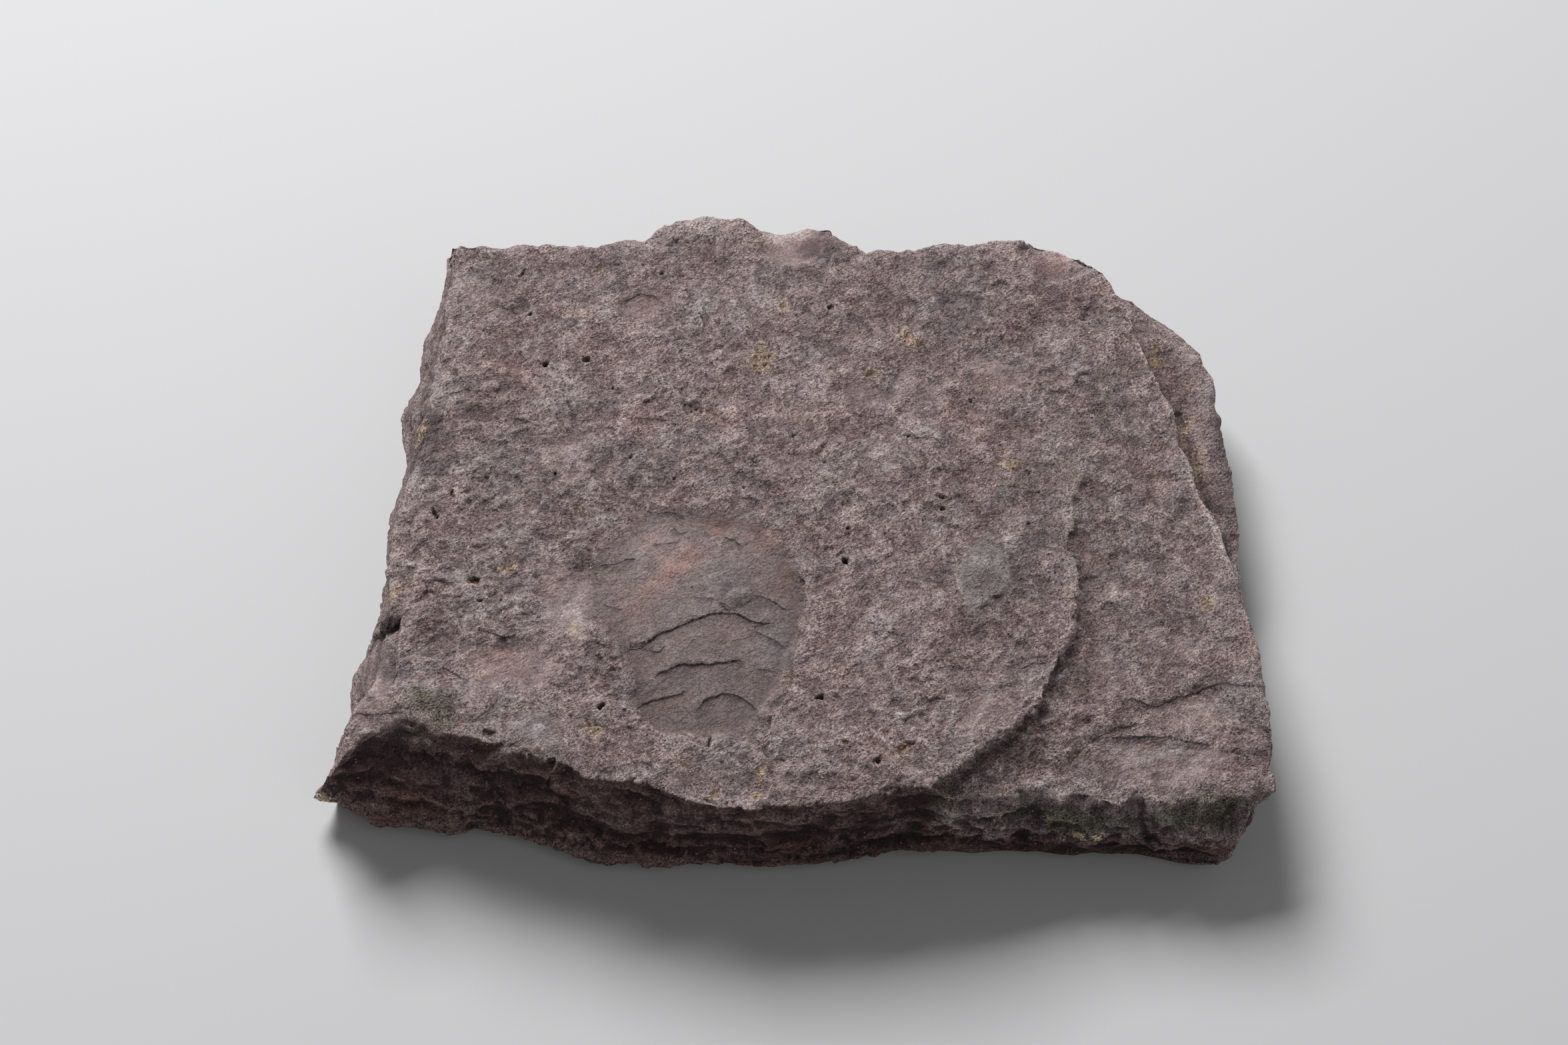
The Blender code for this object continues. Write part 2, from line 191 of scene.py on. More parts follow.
slab = {
    "topHeight": 32.5,
    "fit": ((0.9955, 0.38), (0.9935, 0.55)),    # the last fit to the box: scale and move, along x, then y
    "cellsAcross": 600, "cellsDeep": 450, "cellsHigh": 40, "ringsUnder": 6,
    "closerAcross": (0.27, 0.52), "closerDeep": (0.08, 0.50), "closer": 0.7,    # finer cells over the scar
    "keepFaces": 196000,          # triangles left after thinning
    "baseScale": 0.965,           # base outline over waist outline
    "rimRound": (0.6, 0.025),     # how far the rim is rounded down, and over which share of the way in
    "fromRim": (65, 13),          # millimetres for each 1 of the block, in from the rim and down from it
    "underside": (0.35, 13),      # height and size of its unevenness
    "shelf": ((0.9, 1.0), (0.35, 0.6), (0.22, 0.45)),     # the back right shelf: across, deep and up the wall
    "chamfer": ((0.64, 0.74), (0.05, 0.25)),              # the front right facet: across and deep
    "waistAt": -0.6,              # height in the block that becomes the waist, -1 is the base and 1 the rim
    "rimFront": [(-91.3, -57), (-88.7, -54.3), (-84.9, -51.8), (-79.5, -50.2), (-74.7, -51.9),
                 (-68.5, -53.6), (-60.3, -55.5), (-53.1, -57.7), (-47.3, -58.3), (-43.4, -60.5),
                 (-40.8, -62.2), (-31.8, -63.2), (-27.2, -64.9), (-22.1, -66.7), (-14.3, -69.3),
                 (-3.4, -69.7), (2.2, -69.8), (6.2, -68.4), (12.8, -67.4), (17.9, -66.5), (27.4, -64.3),
                 (32, -66), (39, -66.4), (44, -66), (47.3, -63.9), (51.3, -61.4), (55.7, -63.7),
                 (61, -64.2), (67.2, -65.7), (70.8, -63.3), (76.1, -64.4), (81.5, -63.7), (86.7, -65.1),
                 (91.5, -63.2), (99.4, -62.2)],
    "rimBack": [(-73.3, 61.8), (-71.2, 62.6), (-62, 62), (-52, 62.2), (-41.7, 61.4), (-35.8, 63),
                (-31.5, 62.7), (-29.1, 65.3), (-24.5, 67.8), (-18.8, 68.9), (-9.8, 67.8), (-5.9, 66.2),
                (4.9, 68.2), (8.8, 67), (12.6, 63.2), (16.9, 59.4), (21.1, 59.8), (31.3, 61.4),
                (40, 62.1), (44.9, 63.3), (50.8, 63.2), (57.2, 62.3), (63.2, 59.6), (68.6, 55.4)],
    "rimLeft": [(-91.3, -57), (-90.6, -51.5), (-88.4, -47), (-86.2, -43.8), (-84.4, -39.8),
                (-82.5, -30.6), (-83.3, -26.9), (-82.5, -22.5), (-82.9, -16.7), (-82.8, -10.2),
                (-81.9, -3.1), (-79.7, 4.2), (-78.5, 8.3), (-77.2, 13.3), (-76.8, 17.3), (-76.1, 23.9),
                (-73.6, 29.2), (-73.4, 36.7), (-73.1, 47.1), (-73.3, 56.2), (-73.3, 61.8)],
    "rimRight": [(99.4, -62.2), (98.5, -57.4), (99, -47.1), (98.2, -38.4), (96.6, -26.3), (95.2, -21),
                 (93.1, -11.2), (91.9, -6.5), (90.8, -1.1), (88, 2.9), (86.2, 9.2), (84.3, 15.6),
                 (83.1, 22), (80.5, 28.3), (77.8, 34.8), (75.2, 42.2), (73, 47), (68.6, 55.4)],
    "waistFront": [(-99.3, -58, 8), (-94.8, -58.5, 7), (-90.1, -60.4, 6), (-86.7, -62.9, 5),
                   (-78.6, -63, 4), (-71.7, -64.9, 4), (-66.2, -63.5, 4), (-57.4, -64.9, 4),
                   (-49.3, -67, 4), (-39.9, -70.1, 4), (-29.4, -70.7, 4), (-19, -71.3, 4),
                   (-10.1, -72.3, 4), (-3.5, -71.9, 4), (5.2, -71.1, 4), (17.3, -69.9, 4),
                   (25.1, -68.5, 4), (39.2, -69.9, 4), (47.8, -69.1, 4), (57.8, -69.7, 4),
                   (66.1, -69.5, 4), (73.1, -69.7, 4), (83, -71.9, 4), (89.4, -72, 4), (92.2, -70.3, 5),
                   (96.5, -64.6, 9)],
    "waistBack": [(-77, 64, 12), (-60, 65, 12), (-35, 65.5, 12), (-18, 71, 12), (-6, 69, 12),
                  (8, 68.5, 12), (18, 63, 12), (35, 64, 12), (50, 66, 12), (62, 61, 14),
                  (75.6, 53.7, 16)],
    "waistLeft": [(-99.3, -58, 8), (-94.8, -51.5, 12), (-91.9, -44.5, 12), (-92.4, -39, 12),
                  (-91.8, -32.8, 12), (-87.9, -25.6, 12), (-86.7, -18.3, 12), (-86.2, -11, 12),
                  (-86.5, -1.7, 12), (-86, 3.8, 12), (-84.7, 11.3, 12), (-83.1, 17, 12),
                  (-83.6, 21.8, 12), (-84.5, 30.4, 12), (-83.3, 33.2, 12), (-80.6, 38.2, 12),
                  (-80.9, 48, 12), (-79.9, 50.8, 12), (-77.7, 57.7, 12), (-77, 64, 12)],
    "waistRight": [(96.5, -64.6, 9), (98, -47, 12), (97, -38, 12), (96.5, -26, 10), (96.4, -13.8, 10),
                   (96.6, -1.8, 13), (95, 8, 15), (94.2, 15.1, 16), (93.4, 22.5, 16), (92.5, 28.1, 16),
                   (92.6, 35.3, 16), (90, 42, 16), (84.8, 46.9, 16), (79.6, 51.1, 16), (75.6, 53.7, 16)],
}

# The curved ledge: to its right the upper face is broken away to a lower bed
ledge = {
    "line": [(28.2, -64.2), (32.5, -61.2), (37.1, -57.3), (42.3, -54), (46.7, -50.1), (51.3, -46.1),
             (54.4, -37.9), (57.2, -32.1), (58.5, -29.1), (57.9, -25.8), (60.2, -20.7), (60, -16.7),
             (58.3, -10.9), (60.1, -5), (59.1, 0), (61.8, 6.2), (63.5, 10.5), (66.7, 23.6), (68.4, 31.7),
             (70.3, 39.1), (73.1, 44.7)],
    "atY": [-64, -52, -46, -38, -25, -8, 8, 26],   # where the next four are stated, from the front backwards
    "drop": [6.3, 5.6, 4.9, 3.3, 2.3, 1.4, 0.9, 0.0],
    "sudden": 0.26,                            # share of the drop that is a sudden step
    "step": [2.0, 1.8, 1.6, 1.6, 1.8, 2.4, 2.8, 3.5],      # width of that step
    "slope": [17.0, 15.0, 12.5, 6.0, 4.5, 4.5, 5.0, 5.0],  # width of the easier slope past the line
    "fall": [0.05, 0.05, 0.05, 0.08, 0.10, 0.12, 0.14, 0.18],
    "wander": 0.9,                          # how far the line strays from its drawn course
}

scar = {
    "outline": [(-41.7, -26.1), (-41.2, -18.5), (-38.6, -10.9), (-33.8, -5.5), (-26.9, -2.4),
                (-18.6, -1.9), (-10.2, -3.1), (-4.6, -6.2), (0.2, -12.4), (2.3, -20), (3, -26.1),
                (2.3, -32.1), (0.6, -38.1), (-2.5, -44), (-5.9, -49.2), (-10.6, -52.9), (-16.7, -53.6),
                (-23.5, -52.9), (-28.9, -50.7), (-31, -46.3), (-32.5, -39.6), (-36.1, -32.1),
                (-41.7, -26.1)],
    "centre": (-19.0, -28.5, 22.0, 26.5, 0),
    "depth": (0.4, 1.6),          # depth of its edge below the face round it, at the back and at the front
    "depthFrom": (-20, 45),       # x - y where these two depths are reached
    "soft": 2.6,                  # how softly it goes down at its edge
    "swell": 0.7,                 # it bulges like a shell
    # edges of the flakes: drop on the front side, length over which the face makes it up again, then the line
    "edges": [
        (0.75, 4.0, [(-33.4, -31.6), (-31.6, -32.9), (-30.2, -32.6), (-28.4, -32.1), (-26.2, -30.4),
                     (-23.5, -29.2), (-20.8, -27.9), (-18.6, -26.8), (-16.4, -26.1), (-14.2, -25.6),
                     (-12, -25.6), (-10.3, -26.1), (-8.7, -26.9), (-7, -27.6), (-5.4, -27.8),
                     (-3.2, -27.9), (-2, -27.4)]),
        (0.45, 2.0, [(-33.6, -33.9), (-30.5, -33.8), (-28.4, -34), (-26.5, -34.4), (-25, -32.8)]),
        (0.5, 2.5, [(-7.5, -22), (-5.6, -22), (-3.1, -23.1), (-1, -24.7), (0.4, -24.8)]),
        (0.35, 2.0, [(-7.5, -29.3), (-5.1, -30.6), (-3.1, -31.7), (-1.4, -32.8), (0.1, -33)]),
        (0.75, 4.0, [(-28.3, -40.6), (-26.7, -39.3), (-24.6, -38.3), (-21.5, -37.4), (-18.4, -37.1),
                     (-15.1, -37.2), (-12.3, -36.6), (-10.3, -36.3), (-9.1, -36.9), (-8.3, -38)]),
        (0.2, 1.5, [(-7, -38.4), (-5.1, -38.1), (-3, -38.6), (-1.4, -39.6)]),
        (0.65, 3.5, [(-31.8, -48.6), (-29.8, -46.1), (-27.8, -45.4), (-25.4, -44.6), (-23.1, -44.1),
                     (-20.4, -43)]),
        (0.65, 3.5, [(-19.5, -48.4), (-17.5, -45.2), (-15, -44.1), (-12.6, -43.6), (-10.3, -43.9),
                     (-8.2, -45.4), (-5.6, -47.6)]),
        (0.4, 1.5, [(-14.8, -21.2), (-14.4, -23.3), (-12, -24.6), (-9.3, -23.7), (-7.1, -21.9)]),
        (0.4, 1.5, [(-30, -1.9), (-28.3, -2.5), (-26.1, -2.7), (-23.8, -2.8), (-21, -4.4)]),
        (0.35, 1.2, [(-24.2, -6), (-22.4, -7.5), (-20.6, -7)]),
        (0.5, 1.5, [(-13.6, -8.3), (-11.5, -9), (-9.3, -10.7), (-8.6, -10)]),
        (0.35, 1.5, [(-39.4, -14.9), (-35.9, -14.7), (-33.7, -13.3), (-31.2, -13.7)]),
        (0.3, 1.2, [(-28.4, -10.3), (-25.4, -9.9), (-23, -9.5)]),
        (0.3, 1.5, [(-33.5, -31.4), (-31.4, -33.2), (-29.6, -33), (-26.6, -30.6)]),
        (0.25, 1.2, [(-38.6, -23.7), (-36.2, -24.6), (-33.8, -25)]),
        (0.2, 1.2, [(-12.2, -32.2), (-9.8, -31.8), (-7.4, -30.1)]),
        (0.3, 1.2, [(-14.2, -55.9), (-11.1, -54.8)]),
        (0.2, 1.0, [(-19.8, -22.5), (-17.4, -22.3), (-15.2, -22.7)]),
    ],
    "knob": (-10.4, -21.6, 3.6, 2.0, 15, 0.55),     # the small raised knob: x, y, half sizes, turn, rise
}

# Short cracks and edges on the rest of the upper face, read as the scar's edges are
cracks = [
    (0.45, 2.0, [(68.1, -43.3), (70.6, -43), (73, -44), (75.5, -44.7), (77.4, -43.7), (80.6, -42.3),
                 (83.7, -41.3), (85.6, -40.3), (89.4, -39.3), (93.2, -40), (97.4, -39.6)]),
    (0.4, 2.0, [(56.4, -58.1), (58.9, -54.8), (61.5, -52.1), (64, -50.8), (67.2, -49.1), (70.3, -48.7),
                (74.4, -48)]),
    (0.4, 2.0, [(64.9, -50.9), (70.2, -51.1), (74, -50.8), (78.3, -50.9), (82.6, -52.1), (88, -52.9)]),
    (0.4, 1.5, [(92.4, -46.2), (94.6, -47.4), (97, -48.7), (99.6, -49.6)]),
    (0.5, 2.0, [(-63.8, -29.6), (-62, -30.4), (-59.9, -31.1), (-57.3, -31.4), (-55.3, -30.2)]),
    (0.4, 1.5, [(-71.2, -37.6), (-68, -39.7), (-66.5, -40.5)]),
    (0.4, 1.5, [(-64.4, -50.4), (-61.4, -47.7), (-59.5, -45.6)]),
    (0.3, 1.0, [(-61.6, -50.6), (-62, -53.3), (-59.8, -54.6)]),
    (0.5, 1.5, [(-91, -47.6), (-89.6, -47.7), (-84.9, -47.8), (-80, -47.5), (-77.6, -48.1)]),
    (0.3, 1.5, [(42.4, 2.8), (45, 3.6), (47.5, 3.6), (51, 2.3), (54.4, 0.8)]),
    (0.3, 1.2, [(33.2, 6.8), (37.1, 7.5), (39.2, 6)]),
    (0.5, 2.0, [(-35.8, 48.2), (-32, 49.6), (-29.1, 49.6), (-25.8, 46.3)]),
    (0.45, 1.5, [(-63.8, 47.7), (-60.5, 46.3), (-57.2, 46.8)]),
    (0.5, 1.5, [(-72.4, 24.8), (-68.4, 26.4), (-65, 25.5)]),
    (0.35, 1.5, [(-60.8, 20.6), (-56.8, 18.8), (-52, 17.1)]),
    (0.35, 1.2, [(-34.7, 19.8), (-30.3, 17.9)]),
    (0.3, 1.0, [(-25, 37.4), (-22.1, 39.1)]),
    (0.4, 1.5, [(13, 20.6), (17.4, 19.4), (21, 20.6)]),
    (0.3, 1.5, [(44.6, -37.5), (48, -38.2), (50.6, -36.8), (53.4, -36.9)]),
    (0.3, 1.2, [(24.5, 16.6), (27, 14.4), (30, 14.8), (33.6, 13)]),
    (0.3, 1.2, [(-70.2, -23.9), (-67.2, -23.3)]),
    (0.3, 1.2, [(30, -38.6), (33.4, -37.8), (36.6, -38.6)]),
    (0.3, 1.2, [(16.4, -31), (19.6, -30.2), (23, -31.4)]),
    (0.35, 1.2, [(-43.1, 37.9), (-40.2, 37.9), (-38, 38.5), (-36.3, 39.8)]),
    (0.35, 1.2, [(-32.4, 38.6), (-29.5, 38.4), (-26.7, 38.5)]),
    (0.4, 1.2, [(-24.4, 38), (-23, 38.6), (-22.2, 37.2), (-19.9, 36.1), (-18.2, 36.3)]),
    (0.35, 1.0, [(-33.7, 19.1), (-32, 19.4), (-30.3, 18.5), (-29.8, 19.4)]),
    (0.3, 1.0, [(-59.9, 19.4), (-57.7, 18.8), (-53.8, 18.1)]),
]

clast = {
    "outline": [(41.1, -6.7), (44.4, -11.6), (45.6, -13.8), (46.5, -18.6), (43.6, -21.6), (40.3, -24.3),
                (38.2, -26.4), (36.9, -26.2), (36.6, -23.8), (35.2, -20.4), (34.8, -16.6), (37, -12.1),
                (41.1, -6.7)],
    "rise": 0.22,
    "lean": 0.03, "levelAt": -15, "soft": 0.5,      # it stands prouder at the front, in front of this y
}

# At the left edge a straight break runs forwards: the face drops and leans away to its left, and a small
# box-shaped notch is cut at its back end
leftBreak = {
    "line": [(-79.8, -27.6), (-79.8, -34.0), (-80.4, -38.6), (-82.6, -45.4)],
    "drop": 0.8, "lean": 0.42, "ends": (-48.0, -40.0, -28.2, -27.4),
    "notch": (-31.4, -27.2, 3.4),     # its front, its back and its depth at the back
}

# Places where the rock broke smoothly: x, y, half sizes, turn, strength
calmPlaces = [(-57, -38, 13, 7, 10, 0.9), (-84.5, -38, 4, 10, 12, 1.0), (-84, -48, 7, 5, 0, 0.8),
              (-45.2, -22.3, 7.5, 12, 10, 1.0), (1, 63, 9, 8, 0, 1.0), (57, 59, 7, 6, 0, 0.9),
              (16, 25, 6, 5, 0, 0.8), (44, 30, 8, 6, 0, 0.7), (26, 27, 6, 4, 0, 0.6),
              (-30.5, 47.5, 8, 5, 20, 0.8), (20, 9, 8, 5, 20, 0.5), (-52, -52, 9, 5, -20, 0.8),
              (40, -48, 9, 5, 30, 0.7), (76, -57, 18, 6, 0, 0.9), (82, -46, 12, 4, 0, 0.7),
              (78, -32, 9, 5, 0, 0.6), (-66, 50, 7, 6, 0, 0.6), (-46, 12, 7, 4, 20, 0.6),
              (-2, 8, 6, 4, 0, 0.5), (66, -38, 5, 7, 20, 0.6)]

# Broad hollows of the upper face: x, y, half sizes, turn, depth
hollows = [(0, 67.5, 9.5, 10.5, 0, 2.8), (57.5, 60, 8, 7, 0, 1.8), (-30.5, 47.5, 7, 4, 20, 0.8),
           (-56, -36, 8, 5, 0, 0.8), (-90, -60, 22, 16, 0, 5.0), (-73, -33, 5, 8, 10, 0.9),
           (-46, -22.5, 3.6, 6, 0, 0.15)]

# Pits: x, y, half length, half width, turn, depth, and how yellow-brown the filling is
pits = [
    (-51.8, 32.3, 1.3, 0.8, 75, 2.0, 0.1), (-43.1, 33.5, 1.2, 0.9, 30, 1.6, 0.5),
    (-31.5, 56.5, 0.7, 0.5, 0, 1.2, 0), (-27.2, 54.7, 0.7, 0.5, 30, 1.2, 0),
    (-57.4, 54.9, 1.6, 0.5, 70, 1.5, 0.2), (-40.7, 55.7, 1.3, 0.8, 50, 0.9, 0.7),
    (-37.4, 26.8, 0.6, 0.5, 0, 1.0, 0), (-5.7, 32.6, 3.4, 3.0, 60, 0.8, 0.85),
    (-6.4, 29.6, 1.0, 0.8, 0, 1.0, 0.8), (-6.9, 33.8, 0.6, 0.45, 0, 1.2, 0.1),
    (-5.0, 31.8, 0.6, 0.5, 40, 1.2, 0.1), (-4.2, 33.7, 0.5, 0.4, 0, 1.0, 0.1),
    (-7.2, 31.5, 0.5, 0.4, 0, 1.0, 0.1), (-21.9, 22.6, 0.6, 0.45, 0, 1.1, 0.1),
    (-20.7, 22.3, 0.5, 0.4, 0, 1.1, 0.1), (-19.5, 21.5, 0.6, 0.45, 30, 1.1, 0.1),
    (-18.6, 20.6, 0.7, 0.5, 0, 1.1, 0.2), (-20.6, 20.8, 0.4, 0.4, 0, 0.9, 0.2),
    (-2.3, 54.2, 0.9, 0.6, 40, 1.2, 0.6), (-1.1, 46.6, 1.8, 1.0, 70, 1.2, 0.85),
    (-49, 6.2, 0.6, 0.5, 0, 1.0, 0), (-70.5, 1.2, 1.7, 0.55, 100, 1.6, 0.5),
    (-73.8, -3.6, 1.9, 0.6, 115, 1.8, 0.3), (-44.2, -2.5, 1.3, 1.0, 0, 0.8, 0.9),
    (8.9, 45.8, 0.9, 0.7, 0, 1.3, 0.1), (25.9, 38.3, 3.2, 0.85, -38, 0.5, 1.0),
    (17.6, 29.9, 2.0, 1.0, 15, 1.1, 0.75), (38.7, 23.9, 0.7, 0.5, 0, 1.1, 0.2),
    (25.3, 14.9, 0.9, 0.5, 20, 1.1, 0.2), (1.1, 14.6, 0.8, 0.5, 30, 0.9, 0.2),
    (32.2, 0.8, 1.0, 0.8, 0, 1.6, 0.2), (32.3, -1.9, 0.8, 0.7, 0, 1.2, 0.4),
    (27.6, 0.1, 0.9, 0.6, 0, 0.7, 0.8), (11.5, -1.1, 0.9, 0.6, 40, 0.7, 0.8),
    (46.9, 8.6, 2.4, 0.9, 10, 0.6, 0.9), (11.9, -14.1, 1.1, 0.9, 0, 2.0, 0),
    (12.5, -6.8, 0.7, 0.5, 0, 1.0, 0.2), (-65.2, -18.5, 1.7, 1.4, 0, 2.1, 0.55),
    (-58.1, -15.6, 1.8, 1.5, 0, 1.3, 0.95), (-63.6, -23.3, 1.4, 0.4, 15, 1.1, 0),
    (-59.5, -22.9, 0.4, 0.4, 0, 1.0, 0), (-38.2, -47.1, 1.4, 0.9, 30, 1.5, 0.3),
    (-39.7, -52, 2.6, 1.3, -15, 0.9, 0.95), (-16.1, -54.5, 1.9, 0.5, 85, 1.5, 0.4),
    (-21.2, -59.6, 1.3, 0.8, 0, 0.7, 0.8), (-15, -65.7, 1.6, 1.0, 60, 0.8, 0.8),
    (-5.7, -61.8, 2.6, 1.1, 75, 0.9, 0.95), (-6.4, -66.2, 1.4, 1.0, 0, 0.7, 0.9),
    (6.6, -44.9, 1.5, 0.8, -10, 1.8, 0.1), (23, -56.4, 1.9, 1.3, 60, 1.5, 0.85),
    (17.9, -59.1, 0.9, 0.7, 0, 1.3, 0.2), (11.3, -55.2, 1.1, 0.7, 0, 0.8, 0.6),
    (87.1, -21.5, 1.9, 1.6, 60, 0.7, 0.85), (87.1, -51.9, 1.3, 0.5, 70, 1.0, 0.7),
    (92.1, -54.7, 0.9, 0.7, 0, 0.8, 0.5), (50.2, -5.3, 0.6, 0.5, 0, 1.0, 0),
    (52.5, 2.2, 0.45, 0.45, 0, 1.0, 0), (43.1, -67.3, 1.3, 0.9, 0, 0.9, 0.7),
    (49.7, 41.2, 1.3, 1.0, 0, 0.7, 0.5), (-20, -20, 0.4, 0.4, 0, 0.3, 0),
    (83.4, 26.4, 1.5, 1.1, 30, 2.4, 0), (63.5, 44.0, 0.8, 0.5, 20, 0.8, 0.2),
    (7.5, 8.4, 0.6, 0.4, 0, 0.8, 0.1), (-24, 5.0, 0.7, 0.4, 0, 0.8, 0.1),
    (-9.4, 3.0, 0.5, 0.4, 0, 0.9, 0), (70.5, 3.2, 0.5, 0.4, 0, 0.9, 0),
    (-33.2, 10.4, 0.9, 0.4, 20, 0.8, 0.1), (-55.5, 44.6, 1.0, 0.5, 30, 0.8, 0.1),
]

grain = {
    "bedding": 1.1, "beddingSize": (30.0, 30.0, 5.0),       # long lumps along the beds of the walls
    "scarKeeps": 0.25,            # share of the lumps that is left in the scar
    "shake": 0.9, "shakeSize": 2.2,               # how far the facets are shaken out of line
    "evens": (0.85, 0.75, 0.45),  # how much smoother it is in the scar, on the clast and in calm places
    "hackleBase": 0.25, "hackleRough": 0.80,      # share of the facets everywhere, and more where it is rough
    "hackle": 0.36, "hackleSize": (3.2, 2.3),     # height of the broken facets, and their length and width
    "flake": 0.24, "flakeSize": 8.5, "flakeDrop": 0.12,     # its drop takes this share of its length
    # how fast the flakes follow on: over the wide noise, over a millimetre backwards and over a narrow
    # noise, and the size of that
    "climb": (2.6, 0.10, 0.5, 2.6),
    "flakePatch": (11.0, -0.25, 0.2),   # size of the noise whose high places have flakes, and its range
    "ripple": 0.32, "rippleSize": (3.0, 2.3),
    "fine": 0.19, "fineSize": 1.15,
    "swell": 0.50, "scarWaves": 0.10,
    "slant": 28.0,                # degrees that the grain runs up to the right
    "wallBreak": 1.2, "wallBreakSize": (12.0, 12.0, 8.0),
    "wallBeds": 0.25, "wallBedHeight": 4.6, "wallFacet": (5.0, 0.45), "wallStreak": 0.20,
    "wallBedWave": (1.6, (24, 24, 9)),      # how far the beds swing up and down, and the size of that
    "wallBedWide": 14,                      # size of the lumps along one bed
    "chamferLump": 1.3, "chamferSize": (6.5, 2.4), "chamferFine": 0.35,
    "chip": 1.6, "chipSize": 5.5, "chipReach": 4.0, "chipMore": 0.15,
    "chipShare": (0.35, 0.1),     # share of the chips all round, and how much more in front
}


# How an edge of a flake is cut
edgeForm = {
    "drop": 0.48, "reach": 2.5,     # share of the stated drop that is cut, and its reach in fade lengths
    "step": (-0.08, 0.2),           # where the step begins and ends, before and past the line
    "lip": 0.15, "lipFade": 0.9,    # the low lip behind it, and the length over which that fades
    "line": (0.05, 0.125),          # the dark line's half width, alone and for each millimetre of drop
}


def alongSide(side, share):  # points of a drawn side at these shares of its length
    side = np.array(side, float)
    length = np.concatenate([[0], np.cumsum(np.linalg.norm(np.diff(side[:, :2], axis=0), axis=1))])
    return np.stack([np.interp(share * length[-1], length, column) for column in side.T], axis=1)


def fourSided(name, across, deep):
    # Coons patch: front to back and left to right rulings added, less the plane-wise mix of the four corners
    front, back, left, right = (slab[name + part] for part in ("Front", "Back", "Left", "Right"))
    a, d = across[:, None], deep[:, None]
    corner = [np.array(point, float) for point in (front[0], front[-1], back[0], back[-1])]
    ruled = (1 - d) * alongSide(front, across) + d * alongSide(back, across)
    ruled += (1 - a) * alongSide(left, deep) + a * alongSide(right, deep)
    return ruled - (1 - d) * ((1 - a) * corner[0] + a * corner[1]) - d * ((1 - a) * corner[2] + a * corner[3])


def wobble(x, y):  # how far a drawn line strays here, in millimetres: a wide noise and a narrow one
    return noiseSum(flatPoints(x, y), "lineWobble")


def alongLine(x, y, line):  # 1 beside the middle of a line, and down to 0 at its two ends
    (ax, ay), (bx, by) = line[0], line[-1]
    share = ((x - ax) * (bx - ax) + (y - ay) * (by - ay)) / ((bx - ax) ** 2 + (by - ay) ** 2)
    return easeBetween(share, (0.0, 0.12, 0.88, 1.0))


def edgeSteps(x, y, rows):
    # Each line drops the face suddenly on its front side, and the drop fades forwards as exp(-distance /
    # fade). Behind the line the face rises a little towards it.
    total, strays = np.zeros(len(x)), wobble(x, y)
    for drop, fade, line in rows:
        reach = fade * edgeForm["reach"]
        gap = lineGap(x, y, line, reach) + strays
        taper = alongLine(x, y, line)
        ahead = np.clip(-gap, 0, None)
        fades = np.exp(-ahead / fade) * easeStep(reach - ahead, 0, fade)
        total -= edgeForm["drop"] * drop * taper * easeStep(-gap, *edgeForm["step"]) * fades
        behind = np.exp(-np.clip(gap, 0, None) / edgeForm["lipFade"]) * (gap > 0)
        total += edgeForm["lip"] * drop * taper * behind
    return total


def nearestEdge(x, y, rows):
    # Signed distance to the nearest of the lines, and that line's half width here: nothing
    # at its ends or far off
    best, wide, strays = np.full(len(x), 3.0), np.zeros(len(x)), wobble(x, y)
    for drop, _, line in rows:
        gap = lineGap(x, y, line, 3.0) + strays
        closer = np.abs(gap) < np.abs(best)
        best = np.where(closer, gap, best)
        least, more = edgeForm["line"]
        halfWidth = np.where(np.abs(gap) < 1.4, (least + more * drop) * alongLine(x, y, line), 0)
        wide = np.where(closer, halfWidth, wide)
    return best, wide


def ledgeGap(x, y):  # distance past the ledge line, to its right: the way across, less the line's lean
    line = np.array(ledge["line"], float)
    lean = np.interp(y, line[:, 1], np.gradient(line[:, 0], line[:, 1]))
    return (x - np.interp(y, line[:, 1], line[:, 0])) / np.hypot(1, lean)


def ledgeFall(x, y):
    # How far the lower bed lies under the upper one: a sudden step, then an easing slope, then a steady slant
    past = ledgeGap(x, y) + ledge["wander"] * noiseSum(flatPoints(x, y), "ledgeWander")
    keys = ("drop", "step", "slope", "fall")
    drop, step, slope, fall = (np.interp(y, ledge["atY"], ledge[key]) for key in keys)
    sudden = ledge["sudden"]
    eased = np.clip(past / slope, 0, 1)
    stepped = sudden * easeStep(past / step, 0, 1) + (1 - sudden) * eased * (1.6 - 0.6 * eased)
    return drop * stepped, fall * np.clip(past, 0, None)


def leftBreakFall(x, y):  # how far the face drops past the left break, and how much deeper the notch is
    line = np.array(leftBreak["line"], float)[::-1]
    left = np.interp(y, line[:, 1], line[:, 0]) - x
    leaning = leftBreak["drop"] * easeStep(left, 0, 0.4) + leftBreak["lean"] * np.clip(left, 0, 6)
    front, back, depth = leftBreak["notch"]
    notch = depth * np.clip((y - front) / (back - front), 0, 1) * easeStep(-y, -back - 0.2, -back + 0.2)
    return easeBetween(y, leftBreak["ends"]) * leaning, notch * easeStep(left, -0.2, 0.2)


